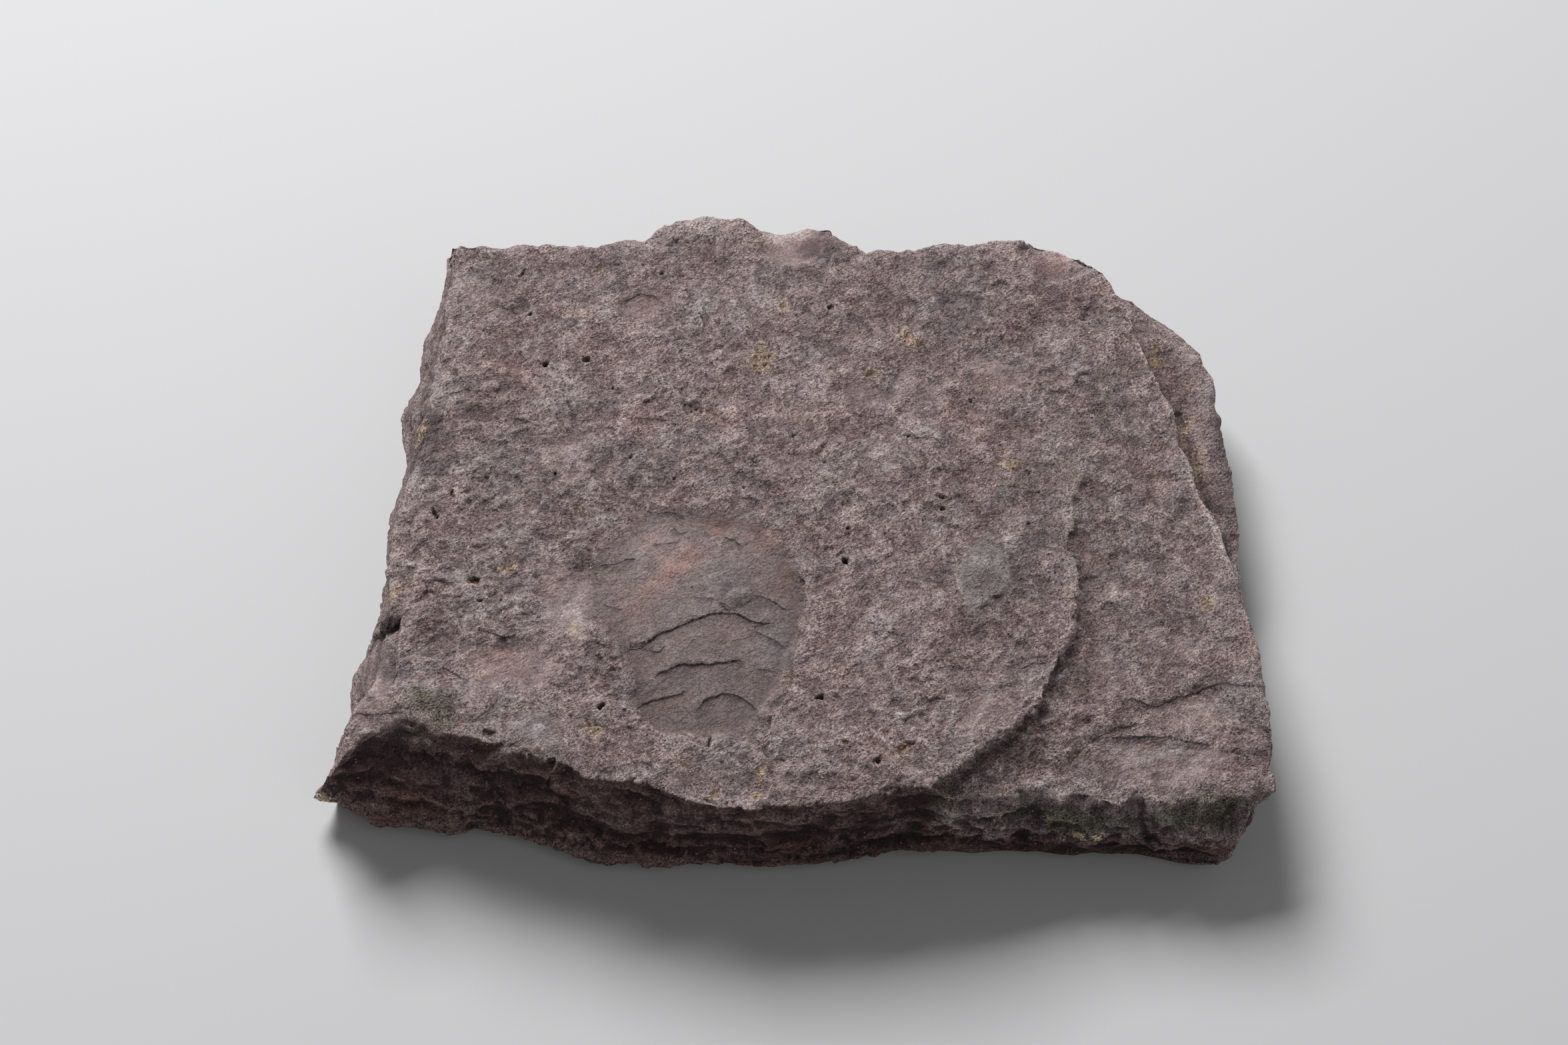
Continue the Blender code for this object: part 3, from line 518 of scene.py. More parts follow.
def upperFace(x, y):
    # Height over the base: the level top, less the ledge, hollows, the left break and the
    # scar, plus knob and clast
    z = slab["topHeight"]
    for fall in ledgeFall(x, y):
        z = z - fall
    for spot in hollows:
        z -= spot[5] * np.clip(1 - ellipse(x, y, spot) ** 2, 0, None)
    for fall in leftBreakFall(x, y):
        z -= fall
    swell = np.clip(1 - ellipse(x, y, scar["centre"]) ** 2, 0, None)
    depth = np.interp(x - y, scar["depthFrom"], scar["depth"])
    z += scar["swell"] * swell - depth * inOutline(x, y, scar["outline"], scar["soft"])
    knob = scar["knob"]
    z += knob[5] * easeStep(1 - ellipse(x, y, knob), 0, 0.7)
    stands = clast["rise"] + clast["lean"] * (clast["levelAt"] - y)
    z += stands * inOutline(x, y, clast["outline"], clast["soft"])
    return z


def placed(x, y):  # where the fit at the end carries these places
    (scaleX, moveX), (scaleY, moveY) = slab["fit"]
    return x * scaleX + moveX, y * scaleY + moveY


def slabPoints(across, deep, height):
    # Block places to millimetres: across and deep from 0 to 1, height from -1 at the base to 1 at the rim.
    # The rim is moved ahead of the fit, so that it ends where it is drawn.
    drawn, waist = fourSided("rim", across, deep), fourSided("waist", across, deep)
    rim = np.stack([(drawn[:, k] - slab["fit"][k][1]) / slab["fit"][k][0] for k in (0, 1)], axis=1)
    base = waist[:, :2] * slab["baseScale"]
    edge = np.maximum(np.abs(2 * across - 1), np.abs(2 * deep - 1))
    falls, over = slab["rimRound"]
    rimZ = upperFace(drawn[:, 0], drawn[:, 1]) - falls * (1 - np.clip((1 - edge) / over, 0, 1)) ** 2
    up = np.clip((height - slab["waistAt"]) / (1 - slab["waistAt"]), 0, 1)
    down = np.clip((slab["waistAt"] - height) / (1 + slab["waistAt"]), 0, 1)[:, None]
    shelfAcross, shelfDeep, shelfUp = slab["shelf"]
    shelf = easeStep(across, *shelfAcross) * easeStep(deep, *shelfDeep)
    chamferAcross, (chamferFront, chamferBack) = slab["chamfer"]
    chamfer = easeStep(across, *chamferAcross) * easeStep(-deep, -chamferBack, -chamferFront)
    outward = up + shelf * (easeStep(up, *shelfUp) - up) + chamfer * (np.clip(2.5 * up - 1.5, 0, 1) - up)
    outward = outward[:, None]
    plan = (1 - down) * (outward * rim + (1 - outward) * waist[:, :2]) + down * base
    z = up * rimZ + (1 - up) * (1 - down[:, 0]) * waist[:, 2]
    return np.column_stack([plan, z])


def gridLines(count, closer):  # places from 0 to 1, packed closer together between two shares
    low, high = closer
    share = np.linspace(0, 1, count * 4 + 1)
    packed = 1 + slab["closer"] * easeStep(share, low - 0.05, low) * easeStep(-share, -high - 0.05, -high)
    total = np.concatenate([[0], np.cumsum(packed[:-1])])
    return np.interp(np.linspace(0, 1, count + 1), total / total[-1], share)


def blockMesh():
    # Parameters of a closed block: a top grid, walls round its edge, and rings drawn in
    # under it to one point. Gives across, deep, height and share drawn in, one of each for
    # a point, with the faces as corner numbers.
    nx, ny, nz, rings = (slab[key] for key in ("cellsAcross", "cellsDeep", "cellsHigh", "ringsUnder"))
    a, d = np.meshgrid(gridLines(nx, slab["closerAcross"]), gridLines(ny, slab["closerDeep"]))
    number = np.arange((nx + 1) * (ny + 1)).reshape(ny + 1, nx + 1)
    loop = np.concatenate([number[0, :-1], number[:-1, -1], number[-1, :0:-1], number[:0:-1, 0]])
    around = len(loop)
    rows = [(a.ravel(), d.ravel(), np.ones(a.size), np.zeros(a.size))]
    corners = [number[:-1, :-1], number[:-1, 1:], number[1:, 1:], number[1:, :-1]]
    quads = [np.stack(corners, axis=-1).reshape(-1, 4)]
    previous, count = loop, a.size
    levels = [(1 - 2 * k / nz, 0) for k in range(1, nz + 1)] + [(-1, k / rings) for k in range(1, rings)]
    for level, share in levels:
        row = np.arange(count, count + around)
        rows.append((a.ravel()[loop], d.ravel()[loop], np.full(around, level), np.full(around, share)))
        quads.append(np.stack([row, np.roll(row, -1), np.roll(previous, -1), previous], axis=-1))
        previous, count = row, count + around
    rows.append(([0.5], [0.5], [-1.0], [1.0]))
    fan = np.stack([np.full(around, count), np.roll(previous, -1), previous], axis=-1)
    return [np.concatenate(part) for part in zip(*rows)], np.concatenate(quads), fan


def nearFront(y):  # 0 well behind the front wall, and 1 along it
    return easeStep(-y, 44, 58)


def nearFacet(x):  # 0 to the left of the front right facet, and 1 along it
    return easeStep(x, 26, 34)


def setPoints(mesh, points):  # places in millimetres into a mesh in metres
    mesh.vertices.foreach_set("co", (points * 0.001).astype(np.float32).ravel())
    mesh.update()


def setMesh(mesh, points, quads, triangles):  # whole arrays into a mesh, quads first
    mesh.vertices.add(len(points))
    setPoints(mesh, points)
    mesh.loops.add(quads.size + triangles.size)
    numbers = np.concatenate([quads.ravel(), triangles.ravel()])
    mesh.loops.foreach_set("vertex_index", numbers.astype(np.int32))
    sizes = np.concatenate([np.full(len(quads), 4), np.full(len(triangles), 3)])
    mesh.polygons.add(len(sizes))
    mesh.polygons.foreach_set("loop_start", (np.cumsum(sizes) - sizes).astype(np.int32))
    mesh.update(calc_edges=True)


def readMesh(items, key):  # one vector for each point of a mesh, as whole arrays
    values = np.empty(len(items) * 3, np.float32)
    items.foreach_get(key, values)
    return values.reshape(-1, 3).astype(float)


def meshPoints(mesh):  # the places in millimetres
    return readMesh(mesh.vertices, "co") * 1000


def meshNormals(mesh):
    return readMesh(mesh.vertex_normals, "vector")


# How the kinds of surface begin and end
kinds = {
    "scarSoft": 5.0,
    "crispFrom": (-25, 25), "crisp": (0.5, 0.14),   # x - y, and half the scar's fade there
    "clastWander": 0.25, "clastSoft": 0.35,
    "lowerBedWide": 6,                      # distance past the ledge where the lower bed's grain is full
    "rough": (-0.45, 0.4),                  # range of the noise over which the face turns rough
    "calmWander": 0.3, "calmSoft": 0.5,
    "upward": (0.25, 0.6), "upwardFrom": (12, 18),  # lean and height over which a place is on the upper face
    # times the mean is taken for each kind of hollow, and the depth in millimetres that counts as 1
    "hollows": {"hollow": (5, 0.10), "wideHollow": (50, 0.35)},
}


def masks(points):
    # What kind of surface each point is on: in the scar, on the clast, on the lower bed, how rough and how
    # calm. The scar fades away at the back left, and ends sharply at the front right.
    x, y = points[:, 0], points[:, 1]
    wander = noiseSum(flatPoints(x, y), "edgeWander")
    inScar = inOutline(x + wander, y + wander, scar["outline"], kinds["scarSoft"])
    crisp = np.interp(x - y, kinds["crispFrom"], kinds["crisp"])
    inScar = easeStep(inScar, 0.5 - crisp, 0.5 + crisp)
    nudge = kinds["clastWander"] * wander
    inClast = inOutline(x + nudge, y + nudge, clast["outline"], kinds["clastSoft"])
    lowerBed = easeStep(ledgeGap(x, y), 0, kinds["lowerBedWide"])
    rough = easeStep(noiseSum(points, "roughPlaces"), *kinds["rough"])
    calm = np.zeros(len(x))
    for spot in calmPlaces:
        inside = 1 - ellipse(x, y, spot) + kinds["calmWander"] * wander
        calm = np.maximum(calm, spot[5] * easeStep(inside, 0, kinds["calmSoft"]))
    return inScar, inClast, lowerBed, rough * (1 - calm), calm


def faceRelief(points, onTop, surface, wallShare):
    # The broken grain: facets, flakes and fine grain on the upper bed, and ripples in place
    # of the first two on the lower one. A flake is a saw tooth on a slanting noise: it
    # climbs slowly and drops over an eighth of its length.
    inScar, inClast, lowerBed, rough, calm = surface
    scarEven, clastEven, calmEven = grain["evens"]
    smooth = (1 - scarEven * inScar * onTop) * (1 - clastEven * inClast * onTop) * (1 - calmEven * calm)
    slanted = np.column_stack([*turnedPlan(points[:, 0], points[:, 1], grain["slant"]), points[:, 2]])
    moved = [softNoise(points / grain["shakeSize"], seed) for seed in (64, 65, 66)]
    shaken = slanted + grain["shake"] * np.stack(moved, axis=1)
    long, short = grain["hackleSize"]
    hackle = facetNoise(shaken / (long, short, short), 51) * grain["hackle"]
    hackle *= grain["hackleBase"] + grain["hackleRough"] * rough + wallShare
    swell = noiseSum(points, "grainSwell")
    wide, back, narrow, size = grain["climb"]
    climb = wide * softNoise(points / grain["flakeSize"], 52) + back * points[:, 1]
    climb += narrow * softNoise(points / size, 53)
    saw = climb - np.floor(climb)
    flake = (easeStep(saw, 0, grain["flakeDrop"]) - saw) * -grain["flake"]
    size, low, high = grain["flakePatch"]
    flake *= easeStep(softNoise(points / size, 54), low, high)
    long, short = grain["rippleSize"]
    ripple = facetNoise(shaken / (long, short, short), 55, 2.0, 7.0) * grain["ripple"]
    fine = facetNoise(shaken / grain["fineSize"], 56) * grain["fine"] * (0.5 + 0.5 * rough)
    broken = smooth * ((1 - lowerBed) * (hackle + flake) + lowerBed * ripple + fine + grain["swell"] * swell)
    return broken, grain["scarWaves"] * inScar * onTop * softNoise(slanted / (4, 1.6, 4), 57)


def wallRelief(points, side, front):
    # The broken walls: bowls all round, facets and thin streaks in front, lumps on the
    # front right facet, and beds
    x, y, z = points.T
    size, height = grain["wallFacet"]
    yield side * grain["wallBreak"] * (0.6 + 0.4 * front) * brokenNoise(points / grain["wallBreakSize"], 58)
    yield side * front * height * facetNoise(points / (1.3 * size, 1.3 * size, size), 73, 2.4, 16.0)
    yield side * front * grain["wallStreak"] * noiseSum(points, "wallStreaks")
    lumpy = side * front * nearFacet(x) * easeStep(z, 8, 12) * grain["chamferLump"]
    wide, narrow = grain["chamferSize"]
    yield lumpy * (brokenNoise(points / wide, 76) + grain["chamferFine"] * facetNoise(points / narrow, 77))
    sway, wide = grain["wallBedWave"]
    level = z + sway * softNoise(points / wide, 59)
    bed = np.floor(level / grain["wallBedHeight"])
    partWay = easeStep(level / grain["wallBedHeight"] - bed, 0.0, 0.3)
    along = grain["wallBedWide"]
    layers = [softNoise(np.stack([x / along, y / along, b * 1.73 + 0.5], axis=1), 60) for b in (bed - 1, bed)]
    yield side * grain["wallBeds"] * ((1 - partWay) * layers[0] + partWay * layers[1])


def relief(points, onTop):
    # Height of the broken surface over the plain form: lumps and beds, then the broken
    # grain, then the broken walls
    x, y, z = points.T
    surface = masks(np.stack([*placed(x, y), z], axis=1))
    side, front, rightSide = 1 - onTop, nearFront(y), easeStep(x, 70, 82)
    out = noiseSum(points, "lumps") * (1 - (1 - grain["scarKeeps"]) * surface[0] * onTop)
    out += grain["bedding"] * side * softNoise(points / grain["beddingSize"], 3)
    for layer in faceRelief(points, onTop, surface, side * (0.3 * front + 0.7 * rightSide)):
        out += layer
    for layer in wallRelief(points, side, front):
        out += layer
    return out


# How a pit is cut: where it begins, as a share of its size, how deep it goes empty and how much less when
# filled, as shares of its depth, how soon it is deep, and where its filling begins
pitForm = {"edge": 0.8, "deep": 0.9, "filled": 0.5, "slope": 0.45, "fill": (-0.25, 0.1)}


def pitDepths(x, y):
    # How deep the pits are, how far a point is inside the outline of one, in millimetres,
    # and how yellow its filling is
    deep, gap, yellow = np.zeros(len(x)), np.full(len(x), -1.0), np.zeros(len(x))
    ragged = noiseSum(flatPoints(x, y), "pitEdges")
    for spot in pits:
        near = np.nonzero((np.abs(x - spot[0]) < spot[2] * 2) & (np.abs(y - spot[1]) < spot[2] * 2))[0]
        inside = pitForm["edge"] - ellipse(x[near], y[near], spot) + ragged[near]
        depth = (pitForm["deep"] - pitForm["filled"] * spot[6]) * spot[5]
        deep[near] = np.maximum(deep[near], depth * easeStep(inside, 0, pitForm["slope"]))
        gap[near] = np.maximum(gap[near], inside * spot[3])
        fill = easeStep(inside, *pitForm["fill"])
        yellow[near] = yellow[near] * (1 - fill) + spot[6] * fill
    return deep, gap, yellow


def makeSlab():
    # The plain form, moved out along its normals by the relief less the chips at the rim,
    # with edges and pits cut down
    (across, deep, height, drawn), quads, fan = blockMesh()
    plain = slabPoints(across, deep, height)
    plain -= drawn[:, None] * plain
    mesh = bpy.data.meshes.new("slabStone")
    setMesh(mesh, plain, quads, fan)
    normals = meshNormals(mesh)
    print("stone: plain form with", len(plain), "points")
    edge = np.maximum(np.abs(2 * across - 1), np.abs(2 * deep - 1))
    onTop = (height > 0.999) * easeStep(1 - edge, 0.0, 0.015)
    keeps = easeStep(plain[:, 2], 0, 5)         # the foot of the walls stays as it is
    out = relief(plain, onTop)
    inwards, downwards = slab["fromRim"]
    fromRim = np.where(height > 0.999, (1 - edge) * inwards, (1 - height) * downwards)
    chips = np.clip(brokenNoise(plain / grain["chipSize"], 71) + grain["chipMore"], 0, None)
    allRound, inFront = grain["chipShare"]
    share = allRound + inFront * nearFront(plain[:, 1])
    out -= grain["chip"] * share * chips * (1 - easeStep(fromRim, 0, grain["chipReach"]))
    points = plain + normals * (out * keeps)[:, None]
    x, y = placed(plain[:, 0], plain[:, 1])
    points[:, 2] += onTop * (edgeSteps(x, y, scar["edges"] + cracks) - pitDepths(x, y)[0])
    under = height < -0.999
    rise, size = slab["underside"]
    rises = rise * np.clip(softNoise(points[under] / size, 81), 0, None)
    points[under, 2] = np.where(drawn[under] > 0, rises, 0)
    setPoints(mesh, points)
    print("stone: relief added")
    stone = bpy.data.objects.new("slabStone", mesh)
    bpy.context.scene.collection.objects.link(stone)
    thin = stone.modifiers.new("thin", "DECIMATE")
    thin.ratio = slab["keepFaces"] / (2 * len(quads) + len(fan))
    thin.use_collapse_triangulate = True
    finished = bpy.data.meshes.new_from_object(stone.evaluated_get(bpy.context.evaluated_depsgraph_get()))
    stone.modifiers.clear()
    stone.data = finished
    finished.name = "slabStone"
    bpy.data.meshes.remove(mesh)
    fitToBox(finished)
    finished.shade_smooth()
    print("stone: thinned to", len(finished.polygons), "faces")
    return stone


def fitToBox(mesh):  # stretches the mesh by a hair so that it fills the frame's box exactly
    points = meshPoints(mesh)
    low, high = (np.array(corner) * 1000 for corner in cadBox)
    size = points.max(axis=0) - points.min(axis=0)
    print("stone: fitted by", np.round((high - low) / size, 4))
    setPoints(mesh, low + (points - points.min(axis=0)) * (high - low) / size)


# Stains, and some painted shadows: x, y, half sizes, turn, strength
stainsAndShade = {
    "green": [(-74.6, -47, 8.4, 5.4, -8, 1.35), (-64, -52.5, 8, 2.4, -15, 0.6),
              (-67.2, 21.6, 3.2, 1.6, 20, 0.8), (45.6, 4.8, 6, 2, 0, 0.6), (-50, -57, 9, 2.6, -20, 0.5),
              (-55.5, -54.5, 3.5, 1.8, 0, 0.6), (58, -66.6, 16, 3.4, -6, 1.4),
              (87, -65.5, 14, 3.8, 6, 1.5), (35, -64, 8, 3.6, 20, 1.0), (39, -58.5, 6, 2.6, 42, 0.4),
              (60.5, 8, 2.2, 14, -8, 0.5), (66, 26, 3, 12, -8, 0.4), (52, 6, 9, 5, 0, 0.35),
              (56, 57, 7, 6, 0, 0.2), (38, -29, 4, 3, 50, 0.3), (-40, -16, 3, 3, 0, 0.3),
              (-75, -46, 6, 3.6, 0, 1.6), (-70.5, -50.4, 4, 2.2, 0, 1.3), (69, 41, 4, 6, 20, 0.15),
              (10, -46, 5, 3, 0, 0.25), (-12, -62, 8, 3, 0, 0.25)],
    # Painted shadow among the dark spots: round the clast, in the left notch, at the front right facet's top
    "dark": [(-67.9, 21.2, 5, 3, 0, 0.8), (-86, -38, 3.2, 9, 14, 0.55), (-20.5, 21.5, 2.8, 1.9, -20, 0.6),
             (47.5, -20, 4, 7, 0, 0.8), (41, -3, 6, 3, 0, 0.5), (38, -30, 6, 3, 0, 0.4),
             (62, -67.5, 32, 3.2, -2, 0.8), (-79.2, 19.5, 2.6, 5.4, 0, 1.0), (-80, 26.6, 1.8, 3, 0, 0.6),
             (-81.8, -28.8, 2.0, 1.5, 0, 0.8), (34, -62.6, 7, 2.6, 35, 0.5),
             (-42.9, -14.8, 3.4, 3.2, 0, 0.9), (31.6, -18.4, 3.2, 4.2, 0, 1.0), (27, -9, 6, 5, 0, 0.4),
             (-30, 10, 16, 7, -8, 0.4), (-50, 0, 10, 4, -10, 0.4), (-38, 22, 9, 4, 0, 0.3),
             (-40, -36, 5, 5, 30, 0.5), (10, 38, 14, 6, 10, 0.35), (24, 50, 14, 6, 10, 0.4),
             (-60, 46, 6, 5, 0, 0.2), (63, 22, 4, 14, 0, 0.3), (-57, -31, 6, 3, 15, 0.4),
             (53, 2, 7, 12, 0, 0.5), (-66, 22, 10, 9, 0, 0.3), (45, -40, 8, 4, 30, 0.3),
             (-17, -40, 14, 13, 0, 0.42), (-14, -28, 12, 7, 10, 0.3), (-35, -44, 4, 5, 0, 0.3),
             (-13, -5.5, 7, 1.8, -8, 0.6), (-36.5, -33.6, 5.5, 3.2, -25, 0.8),
             (-33.5, -44, 3, 2.6, 0, 0.6), (-13.5, -23.3, 2.2, 0.9, -10, 0.9),
             (93.5, 26, 4.5, 18, -6, 1.4), (94, 6, 5, 14, -6, 0.55), (-20, 60, 12, 5, 0, 0.6),
             (37, 47, 9, 9, 0, 1.3), (8, 61, 7, 6, 0, 1.2), (30, 56, 13, 6, 0, 0.8),
             (-60, 56, 11, 5, 0, 0.5), (58, 52, 8, 6, 0, 0.4), (25, 57, 6, 4.5, 0, 0.9),
             (1, 54, 10, 6, 0, 1.0), (-36, 59, 9, 4.5, 0, 0.9), (-43, 47, 5, 3.5, 0, 0.4),
             (48, 29, 6, 5, 0, 0.7), (71, 33, 4, 9, 0, 0.5), (65, 15, 6, 3.5, 0, 0.4),
             (-76, 13, 7, 17, 0, 1.5), (-50, 8, 9, 4.5, 0, 0.5), (-62, 4, 7, 4, 0, 0.35),
             (-17, 5, 6, 3.5, 0, 0.3), (-82.5, -34, 5, 11, 10, 1.2), (-67, -37, 6, 4, 0, 0.5),
             (-55, -41, 10, 4, 0, 0.55), (-54, -55, 8, 3.2, -15, 0.8), (-42, -60, 9, 3.2, -15, 0.8),
             (-23, -64, 6, 3.5, 0, 0.8), (-18, -55.5, 6, 3, 0, 0.5), (-10, -23, 9, 7, 0, 0.7),
             (-23, -27, 9, 6, 0, 0.25), (19, -22, 6, 6, 0, 0.65), (28, -18, 6, 4, 0, 0.45),
             (50, -9, 5.5, 8, 0, 1.3), (45, 1, 6, 5, 0, 0.7), (69, -17, 5, 5, 0, 0.35),
             (81, 5, 3.5, 5, 0, 0.4), (91, -18, 4, 5, 0, 0.4), (93, -45, 4.5, 7, 0, 0.35),
             (81, -61.5, 7, 4, 0, 0.5), (54, -65.4, 8, 3.4, 0, 1.4), (95, -65, 5, 5, 0, 0.6)],
    "pale": [(-45.2, -22.3, 5.0, 9.0, 10, 0.62), (-30.5, 47.5, 7, 4, 20, 0.6), (-1, 64.5, 7, 5, 0, 0.4),
             (16, 25, 4.4, 4, 0, 0.9), (-56, -36, 9, 5, 0, 0.6), (20, 9, 7, 4, 20, 0.5),
             (48, -43, 6, 5, 40, 0.4), (30, -47, 9, 5, 20, 0.45), (-22, -11, 14, 7, -10, 0.5),
             (-60, 24, 6, 5, 0, 0.2), (-10, -3, 8, 3, 0, 0.4), (4, -30, 3, 8, 0, 0.4),
             (80, -35, 9, 4, 10, 0.4), (76, -57, 17, 5, 0, 0.7), (82, -46, 10, 3, 0, 0.5),
             (-48, -44, 6, 4, 0, 0.5), (57, 58, 5, 4, 0, 0.5), (-66, -36, 3, 6, 0, 0.4),
             (40, -13.5, 4, 3.5, 0, 0.8), (6, 21, 11, 6, 0, 1.1), (-37, 29, 7, 5, 0, 0.8),
             (-26, 32, 6, 8, 0, 0.5), (-61, 41, 7, 3.5, 0, 0.5), (37, 16, 6, 7, 0, 0.8),
             (-8, 12, 6, 4.5, 0, 0.5), (-12, -2, 5, 3, 0, 0.5), (-4, -9, 5, 4, 0, 0.4),
             (15, -7, 6, 8, 0, 0.8), (17, 5, 6, 5, 0, 0.5), (31, 4, 5, 5, 0, 0.6),
             (61, -10, 3.5, 5, 0, 0.8), (65, 4, 5, 4, 0, 0.5), (68, 48, 4.5, 6, 0, 0.9),
             (-77, -18, 5, 7, 0, 1.2), (-67, -4, 7, 3.5, 0, 0.6), (-50, -18, 4, 5, 0, 0.6),
             (-45, -34, 5, 5, 0, 0.6), (-60, -33, 4, 2.5, 0, 0.5), (9, -41, 9, 6, 0, 1.4),
             (26, -40, 6, 7, 0, 1.1), (20, -54, 11, 8, 0, 1.5), (10, -62, 9, 4, 0, 0.6),
             (58, -37, 5, 7, 0, 1.5), (56, -53, 10, 6, 0, 1.2), (79, -44, 9, 6, 0, 1.3),
             (70, -52, 8, 3, 0, 0.5), (-85, -53, 6, 4, 0, 0.5)],
    "pink": [(-23, -14, 8, 5.5, 35, 0.75), (-27, -19, 7, 4.5, 30, 0.7), (-29, -9, 4, 2, 20, 0.7),
             (-33, -24, 6, 8, 0, 0.4), (-12.5, -7, 8, 3.4, -8, 0.9), (-4, -9, 4, 3, 0, 0.7),
             (-1, -17, 3.5, 6, 10, 0.5), (-47, 45, 8, 2.4, -10, 0.6), (-60, 33, 7, 4, 0, 0.5),
             (-10, 20, 9, 4, 15, 0.4), (34, 20, 8, 4, 0, 0.4), (-29, -10, 5, 4, 0, 0.4),
             (-12, -30, 7, 3, 0, 0.3), (-25, -45, 4, 3, 0, 0.35), (-30, 20, 10, 6, 20, 0.3),
             (8, 15, 8, 6, 0, 0.3), (1, 62, 8, 6, 0, 0.1), (56, 58, 6, 5, 0, 0.4),
             (78, 8, 6, 12, 0, 0.25), (-60, -38, 10, 6, 0, 0.3), (-56, 30, 8, 8, 0, 0.3),
             (44, 30, 7, 5, 0, 0.4)],
    "yellow": [(-78.6, 18.1, 2.0, 4, 0, 0.7), (-81.3, -21.4, 3.2, 1.9, 40, 1.0),
               (79.7, 39, 1.3, 7.5, 0, 1.2), (84.6, 21, 1.5, 6, -15, 1.1), (86.9, 13, 1.4, 6, -12, 1.0),
               (46.9, 8.6, 3.2, 1.4, 10, 0.7), (25.9, 38.3, 3.4, 1.4, -35, 0.7),
               (87.1, -21.5, 2.4, 2, 60, 0.8), (-44.5, -29, 1.2, 3, 10, 0.5), (-1, -40.5, 3, 2, 0, 0.6),
               (-97, -58.6, 2.8, 2.6, 0, 1.0), (-13, -26.7, 2.4, 0.6, -20, 0.5),
               (-28, -40.6, 1.6, 0.8, 30, 0.5), (-63, -39.5, 1.2, 1.6, 0, 0.4),
               (-5.7, 36.5, 2.2, 2, 0, 0.4), (32.3, -65.4, 0.9, 0.7, 0, 0.9),
               (43.6, -62.9, 1.1, 0.9, 0, 0.9), (15.9, -50, 0.9, 0.7, 0, 0.6)],
    "brown": [],
    "cool": [(-12.6, -18, 6.5, 5.5, 0, 1.0), (-29, -5.2, 4.5, 2.6, 20, 0.8),
             (-35, -33.5, 6, 3.4, -25, 0.8), (-33.5, -44, 4, 4, 0, 0.6), (-3, -32, 4.5, 8, 10, 0.7),
             (-9, -47, 5, 4, 0, 0.5), (-20, -41, 7, 3, 0, 0.4), (-51.5, 42.6, 4, 1.6, 0, 0.9),
             (-40, 22.5, 2.6, 1.2, 0, 0.9), (-44.5, -24, 4, 8, 10, 0.5), (16, 25, 4, 4, 0, 0.7),
             (30, -48, 10, 4, 20, 0.5), (76, -56, 14, 4, 0, 0.7), (-60, 8, 6, 3, 0, 0.5),
             (6, 34, 7, 3, 10, 0.5), (50, 20, 6, 5, 0, 0.5), (-22, 50, 6, 3, 0, 0.5),
             (28, 46, 8, 3, 20, 0.5), (-52, -52, 7, 3, -20, 0.6), (58, -14, 3, 8, 0, 0.4),
             (20, -22, 6, 4, 0, 0.5)],
}

# Stained patches with a drawn outline: which stain, strength, soft width, outline
patches = [
    # Painted light: this pale patch lifts the slope past the ledge's front, which faces away from the lamp
    ("pale", 1.0, 2.0, [(45.5, -58.5), (53, -50.5), (58, -42), (64, -45.5), (66, -48.5), (60, -53),
                        (53, -60), (48, -62), (45.5, -58.5)]),
    ("brown", 0.06, 1.6, [(58.8, -27.5), (58.2, -36.4), (60.6, -43.3), (66.5, -46.6), (67.6, -49.1),
                          (60.3, -53.9), (51.1, -62), (43, -66.8), (31.6, -66), (27.2, -65), (38, -55.5),
                          (44.3, -50), (52.6, -41.3), (56, -35), (58.8, -27.5)]),
]
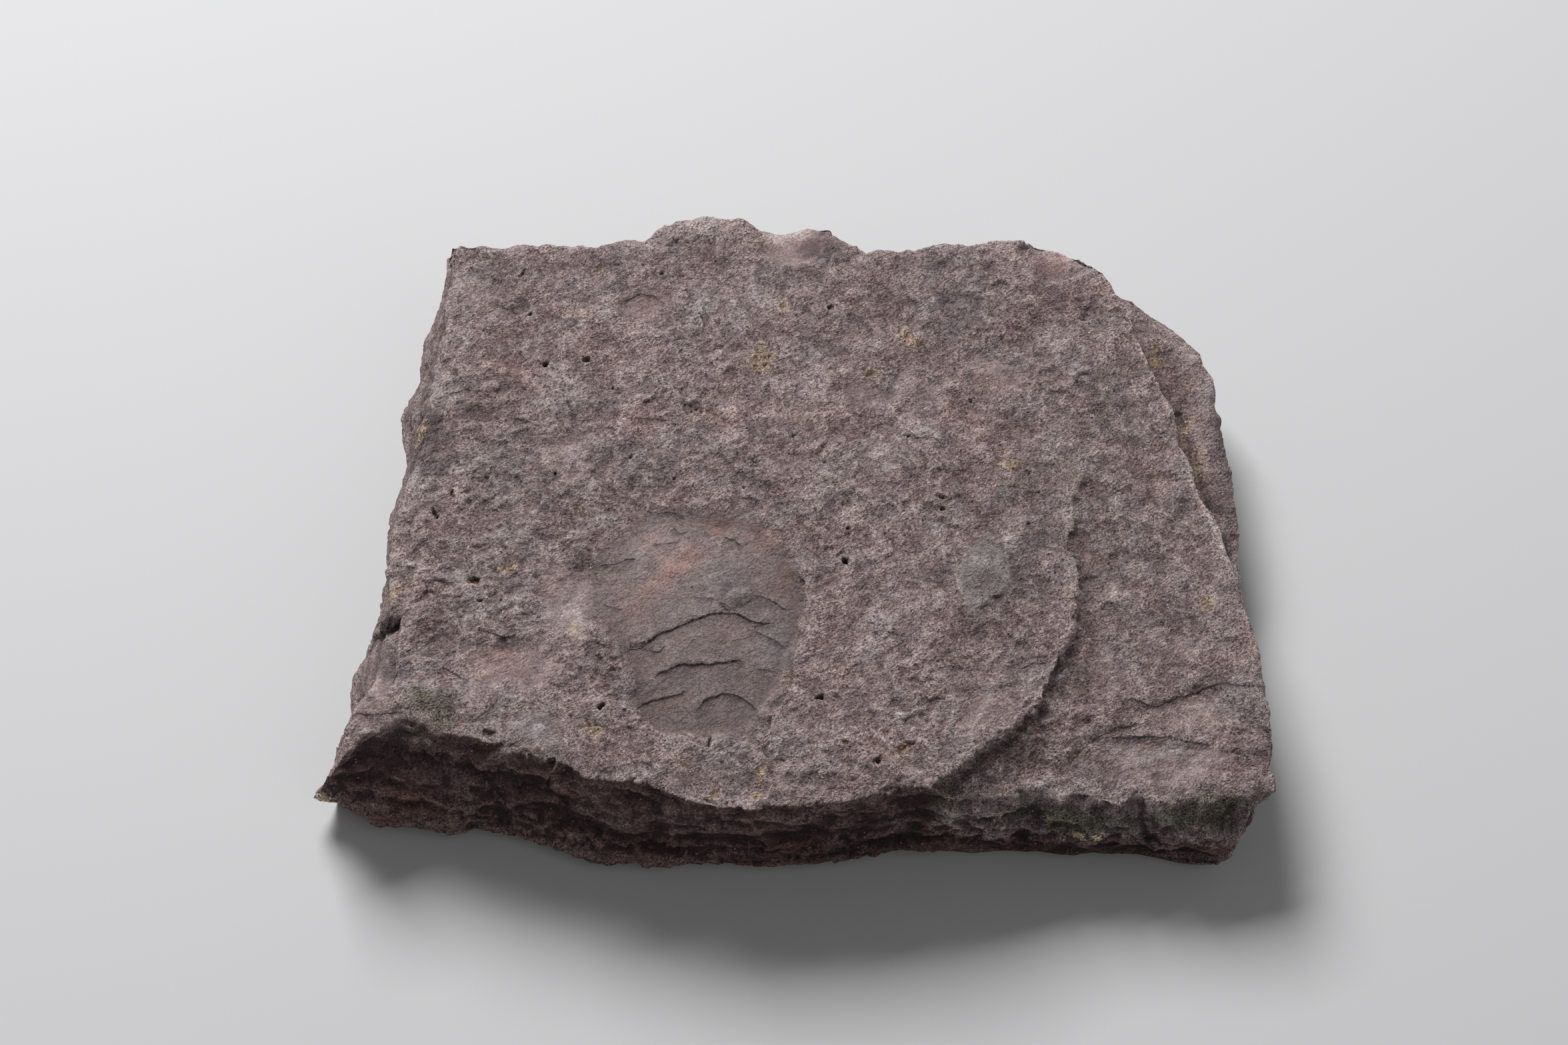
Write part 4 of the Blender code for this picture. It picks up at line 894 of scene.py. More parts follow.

# Stained bands, and bands of painted shadow: which stain, half width, strength, then the line
bands = [
    # Painted shadow along the clast's right and front edge
    ("dark", 0.45, 0.9, [(41.8, -6.6), (45.0, -11.4), (46.3, -13.7), (47.1, -18.7), (44.1, -22.2),
                         (40.7, -25), (38.2, -27.2)]),
    ("dark", 0.7, 0.7, [(71.5, -43.9), (75.3, -45.2), (78, -43.4), (80.6, -42), (84, -41), (88, -39.6),
                        (92, -40.2), (97, -40.4)]),
    ("green", 0.9, 0.6, [(75.3, -44.4), (80.6, -41), (86.6, -39.3)]),
    ("dark", 0.7, 0.6, [(54.9, -58.3), (57, -55.4), (59.4, -53.3), (62.5, -50.9), (67, -49.6), (70, -49)]),
    ("green", 0.8, 0.6, [(62.5, -50.9), (67, -48.6), (70, -48.4)]),
    ("dark", 0.5, 0.7, [(62.5, -51.4), (68.4, -51.4), (74, -51.2), (80, -52.4)]),
    ("dark", 0.5, 0.7, [(89, -45.5), (92.4, -47.4), (95, -48.6), (99, -49.6)]),
    ("green", 2.4, 1.0, [(30, -65.4), (34.4, -62.4), (38, -59.2)]),
    ("green", 1.2, 0.6, [(38, -59.4), (43.4, -55.0), (48, -51.2), (52.3, -46.8), (55, -41)]),
    ("green", 0.9, 0.6, [(57.8, -25), (60, -20), (58.2, -11), (60, -4), (59, 1), (61.6, 8), (64.6, 18)]),
    # Painted shade beside the ledge's step, where the face falls away from the lamp
    ("dark", 0.8, 0.35, [(58.8, -38), (59.2, -33), (59.2, -29), (60.4, -24)]),
    ("green", 1.3, 0.5, [(66, 18), (67.5, 26), (69, 34), (71, 40)]),
    ("pale", 0.5, 1.1, [(-79.8, -28), (-79.9, -34), (-80.6, -39)]),
    ("pale", 0.3, 0.9, [(-17.6, -18.2), (-16, -17.2), (-14.3, -16.4)]),
    ("pale", 0.3, 0.9, [(-15.9, -19.4), (-14.8, -21.2), (-15, -22.5)]),
    ("pale", 0.6, 1.0, [(-6, -47.5), (-4.4, -45.2), (-1.2, -39.3), (-0.7, -35.2), (1, -32.8),
                        (2.1, -29.3), (3.2, -24.5)]),
    ("pale", 0.3, 1.0, [(-18.2, -16.6), (-17, -19.1), (-15.9, -22.1)]),
    ("pale", 0.3, 1.0, [(-15.4, -17.9), (-13.2, -18.5), (-14.9, -19.7), (-14.3, -22.1)]),
    ("pale", 1.4, 1.5, [(73.8, 44.6), (75.6, 39), (79.0, 30.4), (82.6, 21.4), (84.6, 12.6), (86.8, 4.5),
                        (90.2, -3.3), (92.6, -12.6)]),
    # Painted shadow just past the right rim, between two pale bands
    ("dark", 0.7, 1.0, [(79.0, 36.4), (81.6, 30.4), (84.2, 24.3), (86, 17.3), (88, 10.3), (89.6, 4.5)]),
    ("pale", 1.0, 0.6, [(80.5, 38), (83.4, 31), (86, 24), (87.8, 16), (89.8, 8), (92, 0)]),
    # Painted shade beside the upper ledge, where the face falls away from the lamp
    ("dark", 1.6, 0.22, [(60.8, -23), (62.2, -18), (60.8, -11), (62.4, -4), (61.8, 2), (64.2, 8),
                         (66.8, 17)]),
]

# Stains of the front wall: which stain, x, z, half sizes, turn, strength
wallStains = [
    ("dark", -62, 22, 14, 3.2, -22, 1.0), ("dark", -84, 20, 9, 2.5, 10, 0.7),
    ("dark", -30, 22, 20, 3.6, -3, 0.8), ("dark", 18, 20, 16, 4, 0, 0.8), ("dark", 62, 7, 38, 7, 0, 1.7),
    ("dark", 18, 9, 20, 9, 0, 1.0), ("dark", -8, 9, 14, 3, 5, 0.6), ("dark", 4, 14, 26, 11, 0, 0.75),
    ("dark", 64, 20, 30, 3.0, 0, 0.6), ("green", 60, 21, 26, 5, -4, 1.5),
    ("green", 88, 21, 12, 4.5, 10, 1.6), ("dark", 88, 13, 11, 9, 0, 0.6), ("pink", -78, 13, 9, 5, 0, 0.8),
    ("pink", -46, 12, 12, 4, 8, 0.7), ("pink", 2, 13, 16, 4, 0, 0.6), ("pink", 50, 7, 24, 3, 0, 0.8),
    ("pink", 88, 12, 8, 6, 0, 0.8), ("pale", -50, 27, 14, 2.4, -10, 0.8), ("pale", -66, 8, 9, 3, 12, 0.5),
    ("pale", 84, 15, 8, 3, 30, 0.5), ("pale", 62, 18, 7, 2, 0, 0.4),
    ("yellow", 43.5, 22, 1.6, 1.3, 0, 1.1), ("yellow", 50.4, 17.4, 1.4, 1.6, 0, 1.1),
    ("yellow", 53.4, 18, 1.2, 1.3, 0, 1.0), ("yellow", 59.3, 14.6, 2.0, 1.2, 0, 1.0),
    ("yellow", 63.6, 15.2, 1.8, 1.2, 0, 1.0), ("yellow", 72, 17.5, 1.4, 1, 0, 0.8),
]


def bandMask(x, y, ragged, kind):  # ragged bands of one stain: full near each line, nothing far off it
    total = np.zeros(len(x))
    for name, half, strength, line in bands:
        if name == kind:
            gap = np.abs(lineGap(x, y, line, 3 * half))
            band = strength * easeStep(1.3 - gap / half + 1.2 * ragged, 0, 0.8)
            total = np.maximum(total, band * (gap < 2.9 * half))
    return total


def stainMask(x, y, ragged, rows):  # the strongest of several turned ellipses, with ragged edges
    total = np.zeros(len(x))
    for spot in rows:
        total = np.maximum(total, spot[5] * easeStep(1 - ellipse(x, y, spot) + ragged, 0, 0.75))
    return total


def hollowness(mesh, times):
    # How far each point lies below the mean of the points round it, along its normal, in millimetres. The
    # mean is taken over next neighbours again and again, so more times reach wider hollows.
    ends = np.empty(len(mesh.edges) * 2, np.int32)
    mesh.edges.foreach_get("vertices", ends)
    first, second = ends.reshape(-1, 2).T
    points = meshPoints(mesh)
    number = np.bincount(ends, minlength=len(points))
    level = points.copy()
    for _ in range(times):
        sums = [np.bincount(here, column[there], len(points)) for column in level.T
                for here, there in ((first, second), (second, first))]
        level = np.stack([sums[k] + sums[k + 1] for k in (0, 2, 4)], axis=1) / number[:, None]
    return np.sum((level - points) * meshNormals(mesh), axis=1)


def surfaceMasks(mesh, ragged, upward):
    # Kinds of surface, pits and edges of flakes. An edge keeps its signed distance and its own half width,
    # so the finish can draw it finer than the mesh.
    points, normals = meshPoints(mesh), meshNormals(mesh)
    x, y, z = points.T
    inScar, inClast, lowerBed, rough, calm = masks(points)
    _, pitGap, pitFill = pitDepths(x, y)
    clastGap = depthInside(x + 0.3 * ragged, y + 0.3 * ragged, clast["outline"], 2.0)
    gap, wide = nearestEdge(x, y, scar["edges"] + cracks)
    # The chamfer is the stained facet at the front right. The ledge's own step keeps the colour of the top.
    # Lit are the back and left walls, which face the light. The front wall faces away from it. The finish
    # darkens both with painted shade. The front wall leaves out most of the chamfer, the tip of the spur and
    # the low face behind the right part of the front edge.
    chamfer = nearFacet(x) * easeStep(z + 5 * ragged, 13, 17)
    front = easeStep(-normals[:, 1], 0.35, 0.7) * easeStep(-y, 45, 55) * (1 - 0.85 * chamfer)
    front *= easeStep(x, -98, -92)
    front *= 1 - easeStep(x, 26, 31) * easeStep(y, -65, -62)
    lit = easeStep(normals[:, 1] - 0.5 * normals[:, 0], 0.1, 0.5)
    return inClast, chamfer, {
        "inScar": inScar * upward, "clastGap": clastGap - 2 * (1 - upward),
        "lowerBed": lowerBed, "rough": rough, "calm": calm,
        "pitGap": pitGap - 1.0 * (1 - upward), "pitFill": pitFill,
        "edgeGap": gap, "edgeWide": wide * (upward > 0.5),
        "frontWall": front, "side": (1 - upward) * (1 - lit), "backWall": (1 - upward) * lit,
        **{name: np.clip(hollowness(mesh, times) / full, -1, 1)
           for name, (times, full) in kinds["hollows"].items()},
    }


def addMasks(stone):
    # Everything that the finish follows, one number for each point: the kinds of surface, and each stain and
    # painted shade, which is the strongest of its ellipses, bands, drawn patches and wall spots
    mesh = stone.data
    points = meshPoints(mesh)
    x, y, z = points.T
    upward = easeStep(meshNormals(mesh)[:, 2], *kinds["upward"]) * easeStep(z, *kinds["upwardFrom"])
    ragged = noiseSum(points, "stainEdges")
    inClast, chamfer, values = surfaceMasks(mesh, ragged, upward)
    for kind in stainsAndShade:
        stain = np.maximum(stainMask(x, y, ragged, stainsAndShade[kind]), bandMask(x, y, ragged, kind))
        for name, strength, soft, outline in patches:
            if name == kind:
                stain = np.maximum(stain, strength * inOutline(x + ragged, y + ragged, outline, soft))
        if kind in ("pale", "pink", "brown"):       # these keep to the upper face at the front left
            stain *= np.where((y < -50) & (x < 26), upward, 1)
        onWall = stainMask(x, z, ragged, [row[1:] for row in wallStains if row[0] == kind])
        values[kind] = np.maximum(stain, onWall * (y < -50) * (1 - upward))
    values["green"] *= np.where(y < -65, chamfer, 1)
    values["dark"] *= 1 - 0.7 * inClast
    values["yellow"] = np.maximum(values["yellow"], values["pitFill"] * upward)
    for name, value in values.items():
        layer = mesh.attributes.new(name, "FLOAT", "POINT")
        layer.data.foreach_set("value", value.astype(np.float32))
    print("stone: masks", ", ".join(values))


finish = {
    "grey": (0.196, 0.157, 0.157, 1), "mauve": (0.170, 0.119, 0.119, 1), "rose": (0.272, 0.190, 0.179, 1),
    "shade": (0.085, 0.065, 0.067, 1), "green": (0.056, 0.049, 0.033, 1), "yellow": (0.315, 0.220, 0.150, 1),
    "scarGrey": (0.146, 0.112, 0.110, 1), "clast": (0.150, 0.125, 0.121, 1),
    "wallAndShade": (0.058, 0.0285, 0.0255, 1), "crackAndShadow": (0.020, 0.015, 0.014, 1),
    "spark": (0.62, 0.58, 0.58, 1), "pitShade": (0.022, 0.017, 0.014, 1),
    # stains that tint the stone, the dark and pale ones with some painted shade and light among them: the
    # grain that breaks them up, its gain and offset, and what they multiply it by
    "tints": {
        "dark": ("mottle", 0.5, 0.42, (0.42, 0.40, 0.42, 1)),
        "pale": ("clouds", 0.5, 0.4, (1.48, 1.49, 1.46, 1)),
        "pink": ("hue", 0.7, 0.15, (1.42, 1.06, 0.92, 1)),
        "brown": ("mottle", 0.8, 0.4, (0.62, 0.56, 0.54, 1)),
        "cool": ("clouds", 0.6, 0.3, (0.90, 1.0, 1.04, 1)),
    },
    # grains: waves for each metre, detail, roughness, and the range of the noise that is spread over 0 to 1
    "grains": {
        "clouds": (75, 3.0, 0.6, 0.34, 0.66), "mottle": (330, 6.0, 0.72, 0.33, 0.67),
        "speck": (1700, 2.0, 0.6, 0.30, 0.70), "dust": (3200, 2.0, 0.6, 0.28, 0.72),
        "hue": (210, 4.0, 0.7, 0.36, 0.64),     # the mauve, grey and rose patches, apart from light and dark
        "streaks": (620, 4.0, 0.65, 0.3, 0.7),  # thin beds on the front wall
    },
    "facetSize": 430,                       # small flat facets, in waves for each metre
    # how much each layer swings between light and dark
    "layers": {"clouds": 0.30, "mottle": 0.66, "facets": 0.20, "speck": 1.45, "dust": 1.90},
    "streakSwing": 0.85,
    # flakes: size in waves for each metre, steps in the range of the noise, and how dark
    # the painted shadow at the foot of a step is
    "flakes": ((240, 7.0, 0.42), (620, 6.0, 0.42)),
    "lift": 0.20,                           # makes up for the dark feet of the flakes
    # Painted shade and light: hollows of the mesh are darker and its ridges lighter, most on shaded walls
    "hollow": 0.17, "wideHollow": 0.20,     # how much darker a hollow is, and how much lighter a ridge
    "sideHollow": 1.7,                      # how much more than that on the shaded walls
    # share of the swing that is taken off in calm places, on the lit walls and on the clast, and put on for
    # the shaded walls and the moss
    "evens": {"calm": 0.50, "backWall": 0.25, "clast": 0.45, "side": 0.5, "green": 0.6},
    "held": (0.37, 0.10),                   # brights are held back to this share of their light, and this more
    "swing": 2.6, "swingShare": (0.95, 1.07, 1.06),     # light over dark for a step, and each colour's share
    "cellSize": 900.0, "poreWide": 0.25, "sparkWide": 0.16,     # cells that hold a pore or a spark of mica
    "poreRare": 0.62, "sparkRare": (-0.14, 0.90),   # cells over this have one, and more on the lower bed
    "crackAndShadowStrength": 0.85, "sparkStrength": 0.6, "mossStrength": 0.85, "roseShare": 0.55,
    "warpSize": 700.0, "warpReach": 0.0016,     # shakes the facets and flakes out of their straight lines
    "roughness": (0.80, 0.97), "specular": 0.35, "bumpStrength": 0.9, "bumpHeight": 0.00030,
    "bump": {"mottle": 1.3, "speck": 0.6, "dust": 0.2, "facets": 0.35, "flakes": 0.7},
}


def addNode(tree, kind, **inputs):
    # A node with its inputs set by name, or by number as i0, i1. A socket is linked, and a
    # plain value is set on it.
    node = tree.nodes.new(kind)
    for name, value in inputs.items():
        numbered = name[0] == "i" and name[1:].isdigit()
        join(tree, node, int(name[1:]) if numbered else name.replace("_", " "), value)
    return node


def join(tree, node, key, value):  # links a socket to an input, or sets the input to a plain value
    if isinstance(value, bpy.types.NodeSocket):
        tree.links.new(value, node.inputs[key])
    else:
        node.inputs[key].default_value = value


def calc(tree, kind, first, second=0.0, third=0.0, clamp=False):  # one sum on up to three numbers
    node = addNode(tree, "ShaderNodeMath", i0=first, i1=second, i2=third)
    node.operation = kind
    node.use_clamp = clamp
    return node.outputs[0]


def sumMakers(tree):  # for one tree: first * second, value * gain + offset, and first - second
    def times(first, second, clamp=False):
        return calc(tree, "MULTIPLY", first, second, clamp=clamp)

    def scaled(value, gain, offset, clamp=False):
        return calc(tree, "MULTIPLY_ADD", value, gain, offset, clamp)

    def less(first, second):
        return calc(tree, "SUBTRACT", first, second)

    return times, scaled, less


def ramp(tree, value, low, high, start=0.0, end=1.0):  # a straight ramp, from start at low to end at high
    node = addNode(tree, "ShaderNodeMapRange", Value=value, From_Min=low, From_Max=high, To_Min=start,
                   To_Max=end)
    return node.outputs[0]


def mixed(tree, share, first, second, kind="MIX"):  # the share of the second colour laid over the first
    node = tree.nodes.new("ShaderNodeMix")
    node.data_type = "RGBA"
    node.blend_type = kind
    for key, value in ((0, share), (6, first), (7, second)):
        join(tree, node, key, value)
    return node.outputs[2]


def stretched(tree, where, turn, scale):  # coordinates turned first, then drawn out
    node = addNode(tree, "ShaderNodeMapping", Vector=where, Rotation=turn, Scale=scale)
    node.vector_type = "TEXTURE"
    return node.outputs[0]


def newGroup(name, inputs, output):  # a shader node group with named inputs and one output
    group = bpy.data.node_groups.new(name, "ShaderNodeTree")
    for key, kind, value in inputs:
        socket = group.interface.new_socket(key, in_out="INPUT", socket_type="NodeSocket" + kind)
        if value is not None:
            socket.default_value = value
    group.interface.new_socket(output[0], in_out="OUTPUT", socket_type="NodeSocket" + output[1])
    return group, group.nodes.new("NodeGroupInput").outputs, group.nodes.new("NodeGroupOutput")


def grainGroup():
    # Broken grain, a little drawn out up to the right: noise on stretched coordinates, spread to fill 0 to 1
    inputs = [("Vector", "Vector", None), ("Size", "Float", 1.0), ("Detail", "Float", 3.0),
              ("Rough", "Float", 0.6), ("Low", "Float", 0.3), ("High", "Float", 0.7)]
    group, given, gives = newGroup("stoneGrain", inputs, ("Grain", "Float"))
    along = stretched(group, given["Vector"], (0, 0, math.radians(grain["slant"])), (1.22, 0.82, 1.0))
    noise = addNode(group, "ShaderNodeTexNoise", Vector=along, Scale=given["Size"], Detail=given["Detail"],
                    Roughness=given["Rough"])
    join(group, gives, "Grain", ramp(group, noise.outputs["Fac"], given["Low"], given["High"]))
    return group


def stainAndShadeGroup():
    # Lays a colour over another where a mask is strong, with the mask broken up by grain:
    # share = (mask + (grain - 0.5) * break) * strength, and nothing where the mask is nothing
    inputs = [("Color", "Color", None), ("Stain", "Color", None), ("Mask", "Float", 0.0),
              ("Grain", "Float", 0.5), ("Break", "Float", 0.5), ("Strength", "Float", 1.0)]
    group, given, gives = newGroup("stoneStainAndShade", inputs, ("Color", "Color"))
    times, scaled, less = sumMakers(group)
    broken = scaled(less(given["Grain"], 0.5), given["Break"], given["Mask"])
    share = times(broken, given["Strength"], clamp=True)
    gate = times(given["Mask"], 8.0, clamp=True)
    join(group, gives, "Color", mixed(group, times(share, gate), given["Color"], given["Stain"]))
    return group


def swingGroup():  # adds one layer of light and dark: sum + weight * (grain - 0.5)
    inputs = [("Sum", "Float", 0.0), ("Grain", "Float", 0.5), ("Weight", "Float", 0.5)]
    group, given, gives = newGroup("stoneSwing", inputs, ("Sum", "Float"))
    _, scaled, less = sumMakers(group)
    join(group, gives, "Sum", scaled(less(given["Grain"], 0.5), given["Weight"], given["Sum"]))
    return group


def flakeSteps(tree, level, count):
    # Terraces of flat flakes: the level is cut into steps, each with a short steep edge. Gives the terrace
    # height, and a thin mark along the edges, which the finish darkens as painted shadow.
    cut = calc(tree, "MULTIPLY", level, count)
    part = calc(tree, "FRACT", cut)
    terrace = calc(tree, "ADD", calc(tree, "FLOOR", cut), ramp(tree, part, 0.0, 0.16))
    off = calc(tree, "ABSOLUTE", calc(tree, "SUBTRACT", part, 0.12))
    return terrace, ramp(tree, off, 0.0, 0.12, 1.0, 0.0)


def stoneMaterial():
    # Base colour = tinted stone * swing ^ light, where light adds up the layers of grain,
    # flakes, streaks and hollows; the feet of the flakes and the hollows carry painted shade, the ridges
    # painted light
    material = bpy.data.materials.new("purpleGreyRock")
    material.use_nodes = True
    tree = material.node_tree
    shader = tree.nodes["Principled BSDF"]
    shader.inputs["Metallic"].default_value = 0.0
    shader.inputs["Specular IOR Level"].default_value = finish["specular"]
    where = tree.nodes.new("ShaderNodeTexCoord").outputs["Object"]
    grainTree, stainAndShadeTree, swingTree = grainGroup(), stainAndShadeGroup(), swingGroup()
    times, scaled, less = sumMakers(tree)

    def use(group, **inputs):
        node = tree.nodes.new("ShaderNodeGroup")
        node.node_tree = group
        for name, value in inputs.items():
            join(tree, node, name, value)
        return node.outputs[0]

    def grainOf(name, at):
        size, detail, rough, low, high = finish["grains"][name]
        return use(grainTree, Vector=at, Size=size, Detail=detail, Rough=rough, Low=low, High=high)

    def mask(name):
        node = tree.nodes.new("ShaderNodeAttribute")
        node.attribute_name = name
        return node.outputs["Fac"]

    def stainedAndShaded(colour, stain, maskSocket, grainSocket, broken, strength):
        return use(stainAndShadeTree, Color=colour, Stain=finish[stain], Mask=maskSocket, Grain=grainSocket,
                   Break=broken, Strength=strength)

    inScar = mask("inScar")
    onClast = ramp(tree, mask("clastGap"), -0.08, 0.10)
    grains = {name: grainOf(name, where) for name in ("clouds", "mottle", "speck", "dust")}
    clouds, mottle, speck, dust = grains.values()
    moved = addNode(tree, "ShaderNodeVectorMath", i0=where, i1=(0.4, 0.2, 0.3))
    grains["hue"] = grainOf("hue", moved.outputs[0])

    warp = addNode(tree, "ShaderNodeTexNoise", Vector=where, Scale=finish["warpSize"], Detail=2.0)
    shift = addNode(tree, "ShaderNodeVectorMath", i0=warp.outputs["Color"], i1=(-0.5, -0.5, -0.5))
    reach = [finish["warpReach"]] * 3
    shaken = addNode(tree, "ShaderNodeVectorMath", i0=shift.outputs[0], i1=reach, i2=where)
    shaken.operation = "MULTIPLY_ADD"
    facets = addNode(tree, "ShaderNodeTexVoronoi", Vector=shaken.outputs[0], Scale=finish["facetSize"])
    facetTone = addNode(tree, "ShaderNodeSeparateColor", i0=facets.outputs["Color"]).outputs[0]

    grains["facets"] = facetTone
    total = 0.0
    for name, weight in finish["layers"].items():
        total = use(swingTree, Sum=total, Grain=grains[name], Weight=weight)
    steps = None
    # Each flake layer darkens the foot of its steps as painted shadow; the bump steps at the same place
    for size, count, dark in finish["flakes"]:
        level = use(grainTree, Vector=shaken.outputs[0], Size=size, Detail=3.0, Rough=0.55, Low=0.2, High=0.8)
        terrace, foot = flakeSteps(tree, level, count)
        total = scaled(times(foot, scaled(mottle, -1.2, 1.1, clamp=True)), -dark, total)
        steps = terrace if steps is None else scaled(terrace, 0.5, steps)
    streaks = grainOf("streaks", stretched(tree, where, (0, math.radians(5), 0), (9.0, 9.0, 1.0)))
    total = scaled(times(mask("frontWall"), finish["streakSwing"]), less(streaks, 0.5), total)
    evens = finish["evens"]
    calm = scaled(calc(tree, "MAXIMUM", inScar, mask("calm")), -evens["calm"], 1.0)
    swing = scaled(mask("backWall"), -evens["backWall"], scaled(mask("side"), evens["side"], calm))
    total = times(total, scaled(mask("green"), evens["green"], swing))
    total = times(total, scaled(onClast, -evens["clast"], 1.0))
    total = calc(tree, "MINIMUM", total, scaled(total, *finish["held"]))
    total = calc(tree, "ADD", total, finish["lift"])
    # Painted shade in the hollows and painted light on the ridges, much stronger on the shaded walls
    for name in ("hollow", "wideHollow"):       # hollows are darker, and on the shaded walls much more
        weight = scaled(mask("side"), -finish[name] * finish["sideHollow"], -finish[name])
        total = scaled(mask(name), weight, total)
    # Bright grains are greyer and dark ones redder, so red swings less than green and blue
    light = addNode(tree, "ShaderNodeCombineColor")
    for channel, share in enumerate(finish["swingShare"]):
        join(tree, light, channel, calc(tree, "POWER", finish["swing"], times(total, share)))

    colour = mixed(tree, clouds, finish["mauve"], finish["grey"])
    colour = mixed(tree, times(grains["hue"], finish["roseShare"]), colour, finish["rose"])
    # Painted shade: rough places are darker, as their small hollows shade them
    colour = stainedAndShaded(colour, "shade", times(mask("rough"), 0.4), mottle, 0.9, 0.5)
    colour = stainedAndShaded(colour, "scarGrey", inScar, mottle, 0.7, 0.75)
    colour = stainedAndShaded(colour, "clast", onClast, clouds, 0.1, 0.95)
    # Painted shade: the dark brown wall colour is partly the front wall's own, partly its shade from the lamp;
    # the walls that face the lamp take a little of it too, as painted shade that holds back their light
    colour = stainedAndShaded(colour, "wallAndShade", mask("frontWall"), clouds, 0.4, 0.9)
    colour = stainedAndShaded(colour, "wallAndShade", mask("backWall"), clouds, 0.4, 0.4)
    for name, (grainName, gain, offset, tint) in finish["tints"].items():
        share = times(mask(name), scaled(grains[grainName], gain, offset), clamp=True)
        colour = mixed(tree, share, colour, tint, "MULTIPLY")
    coarse = scaled(mottle, 0.5, times(speck, 0.5))
    mossy = scaled(less(coarse, 0.5), 3.2, scaled(mask("green"), 0.9, -0.4), clamp=True)
    mossy = times(mossy, times(mask("green"), 5.0, clamp=True))
    colour = mixed(tree, times(mossy, finish["mossStrength"]), colour, finish["green"])
    colour = stainedAndShaded(colour, "yellow", mask("yellow"), speck, 0.9, 0.8)
    colour = mixed(tree, 1.0, colour, light.outputs[0], "MULTIPLY")
    inPit = ramp(tree, scaled(less(speck, 0.5), 0.25, mask("pitGap")), -0.05, 0.14)
    empty = scaled(mask("pitFill"), -1.0, 0.95, clamp=True)
    colour = mixed(tree, times(inPit, empty), colour, finish["pitShade"])

    # Flake edges and cracks are thin dark lines: partly cracks, partly painted shadow under each lip
    offLine = calc(tree, "ADD", mask("edgeGap"), 0.1)       # the line lies at the foot of its step
    gap = calc(tree, "ABSOLUTE", scaled(less(speck, 0.5), 0.16, offLine))
    over = less(times(mask("edgeWide"), scaled(mottle, 1.2, 0.4)), gap)
    crackAndShadow = times(ramp(tree, over, -0.02, 0.06), finish["crackAndShadowStrength"])
    colour = mixed(tree, crackAndShadow, colour, finish["crackAndShadow"])

    cells = addNode(tree, "ShaderNodeTexVoronoi", Vector=where, Scale=finish["cellSize"])
    few = addNode(tree, "ShaderNodeSeparateColor", i0=cells.outputs["Color"])
    inPore = calc(tree, "LESS_THAN", cells.outputs["Distance"], finish["poreWide"])
    pore = times(inPore, calc(tree, "GREATER_THAN", few.outputs[1], finish["poreRare"]))
    colour = mixed(tree, times(pore, less(calm, 0.35)), colour, finish["crackAndShadow"])
    # Sparks of mica: white dots laid into the colour, painted glints
    inSpark = calc(tree, "LESS_THAN", cells.outputs["Distance"], finish["sparkWide"])
    rare = scaled(mask("lowerBed"), *finish["sparkRare"])
    spark = times(times(inSpark, calc(tree, "GREATER_THAN", few.outputs[0], rare)), less(1.0, inScar))
    colour = mixed(tree, times(spark, finish["sparkStrength"]), colour, finish["spark"])
    join(tree, shader, "Base Color", colour)

    low, high = finish["roughness"]
    join(tree, shader, "Roughness", ramp(tree, speck, 0.0, 1.0, low, high))
    heights = finish["bump"]
    height = scaled(mottle, heights["mottle"], scaled(speck, heights["speck"], times(dust, heights["dust"])))
    height = scaled(steps, heights["flakes"], scaled(facetTone, heights["facets"], height))
    height = times(height, calm)
    bump = addNode(tree, "ShaderNodeBump", Strength=finish["bumpStrength"], Distance=finish["bumpHeight"],
                   Height=height)
    join(tree, shader, "Normal", bump.outputs[0])
    return material


lighting = {
    "main": {"at": (-0.38, 0.95, 1.0), "size": 0.62, "power": 28.6},
    "fill": {"at": (0.9, -0.7, 1.2), "size": 1.4, "power": 2.5},
    "aim": (0, 0, 0.016), "sky": 0.16,
    "floor": {"size": 3.0, "colour": (0.55, 0.55, 0.56, 1), "roughness": 0.8},
}


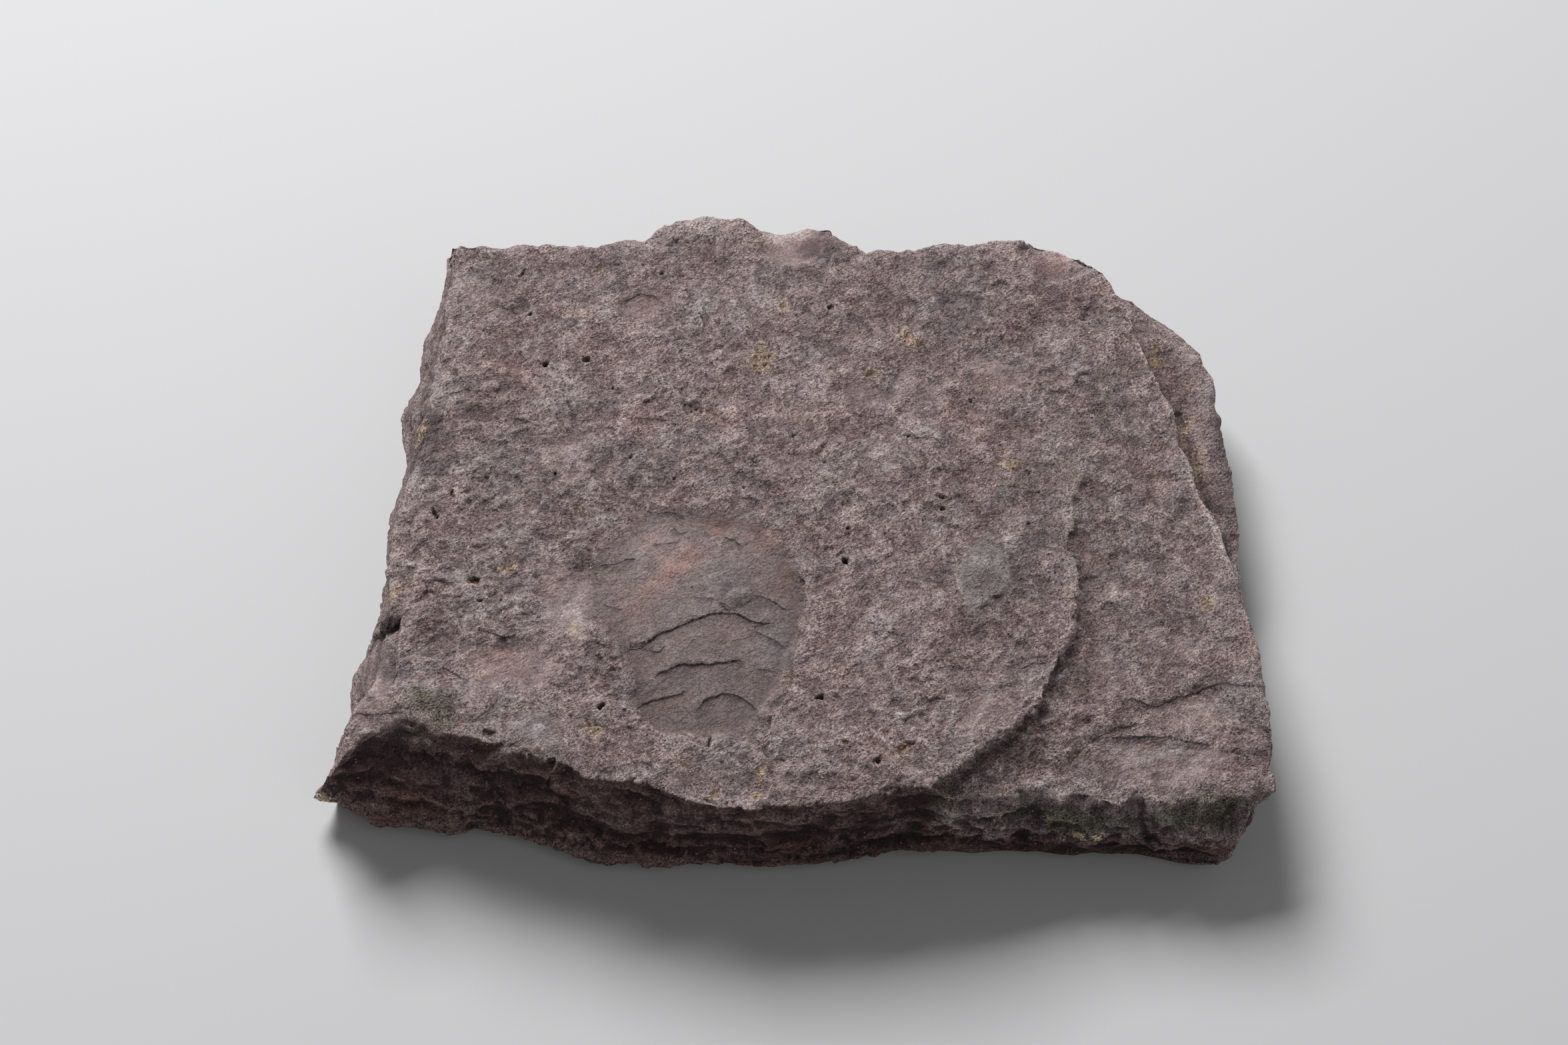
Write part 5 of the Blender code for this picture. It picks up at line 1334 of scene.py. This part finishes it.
def makeFloor():  # a flat square at the height of the stone's base
    size, low = lighting["floor"]["size"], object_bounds()[0][2]
    corners = [(-size, -size, low), (size, -size, low), (size, size, low), (-size, size, low)]
    mesh = bpy.data.meshes.new("floor")
    mesh.from_pydata(corners, [], [(0, 1, 2, 3)])
    floor = bpy.data.objects.new("floor", mesh)
    bpy.context.scene.collection.objects.link(floor)
    material = bpy.data.materials.new("paleFloor")
    material.use_nodes = True
    shader = material.node_tree.nodes["Principled BSDF"]
    shader.inputs["Base Color"].default_value = lighting["floor"]["colour"]
    shader.inputs["Roughness"].default_value = lighting["floor"]["roughness"]
    mesh.materials.append(material)


def makeLights():  # two square lamps that face the stone, and an even white sky
    for name in ("main", "fill"):
        row = lighting[name]
        light = bpy.data.lights.new(name, "AREA")
        light.size = row["size"]
        light.energy = row["power"]
        lamp = bpy.data.objects.new(name, light)
        lamp.location = row["at"]
        aim = Vector(lighting["aim"]) - Vector(row["at"])
        lamp.rotation_euler = aim.to_track_quat("-Z", "Y").to_euler()
        bpy.context.scene.collection.objects.link(lamp)
    world = bpy.data.worlds.new("studio")
    world.use_nodes = True
    back = world.node_tree.nodes["Background"]
    back.inputs["Color"].default_value = (1, 1, 1, 1)
    back.inputs["Strength"].default_value = lighting["sky"]
    bpy.context.scene.world = world


view = {"lens": 85.0, "sensor": 36.0, "elevation": 64.0, "distance": 0.790, "target": (-0.001, 0.0025, 0.016)}


def makeCamera():  # it looks at the target from the front, at its elevation and distance
    camera = bpy.data.cameras.new("camera")
    camera.lens = view["lens"]
    camera.sensor_width = view["sensor"]
    seer = bpy.data.objects.new("camera", camera)
    tilt = math.radians(view["elevation"])
    away = Vector((0, -math.cos(tilt), math.sin(tilt)))
    seer.location = Vector(view["target"]) + away * view["distance"]
    seer.rotation_euler = (math.pi / 2 - tilt, 0, 0)
    bpy.context.scene.collection.objects.link(seer)
    bpy.context.scene.camera = seer
    bpy.context.scene.view_settings.view_transform = "Standard"


stone = makeSlab()
addMasks(stone)
stone.data.materials.clear()
stone.data.materials.append(stoneMaterial())
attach(stone, "root")
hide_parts("slab")
print("stone: finish laid on")
makeFloor()
makeLights()
makeCamera()
print("stage: floor, lights and camera are set")
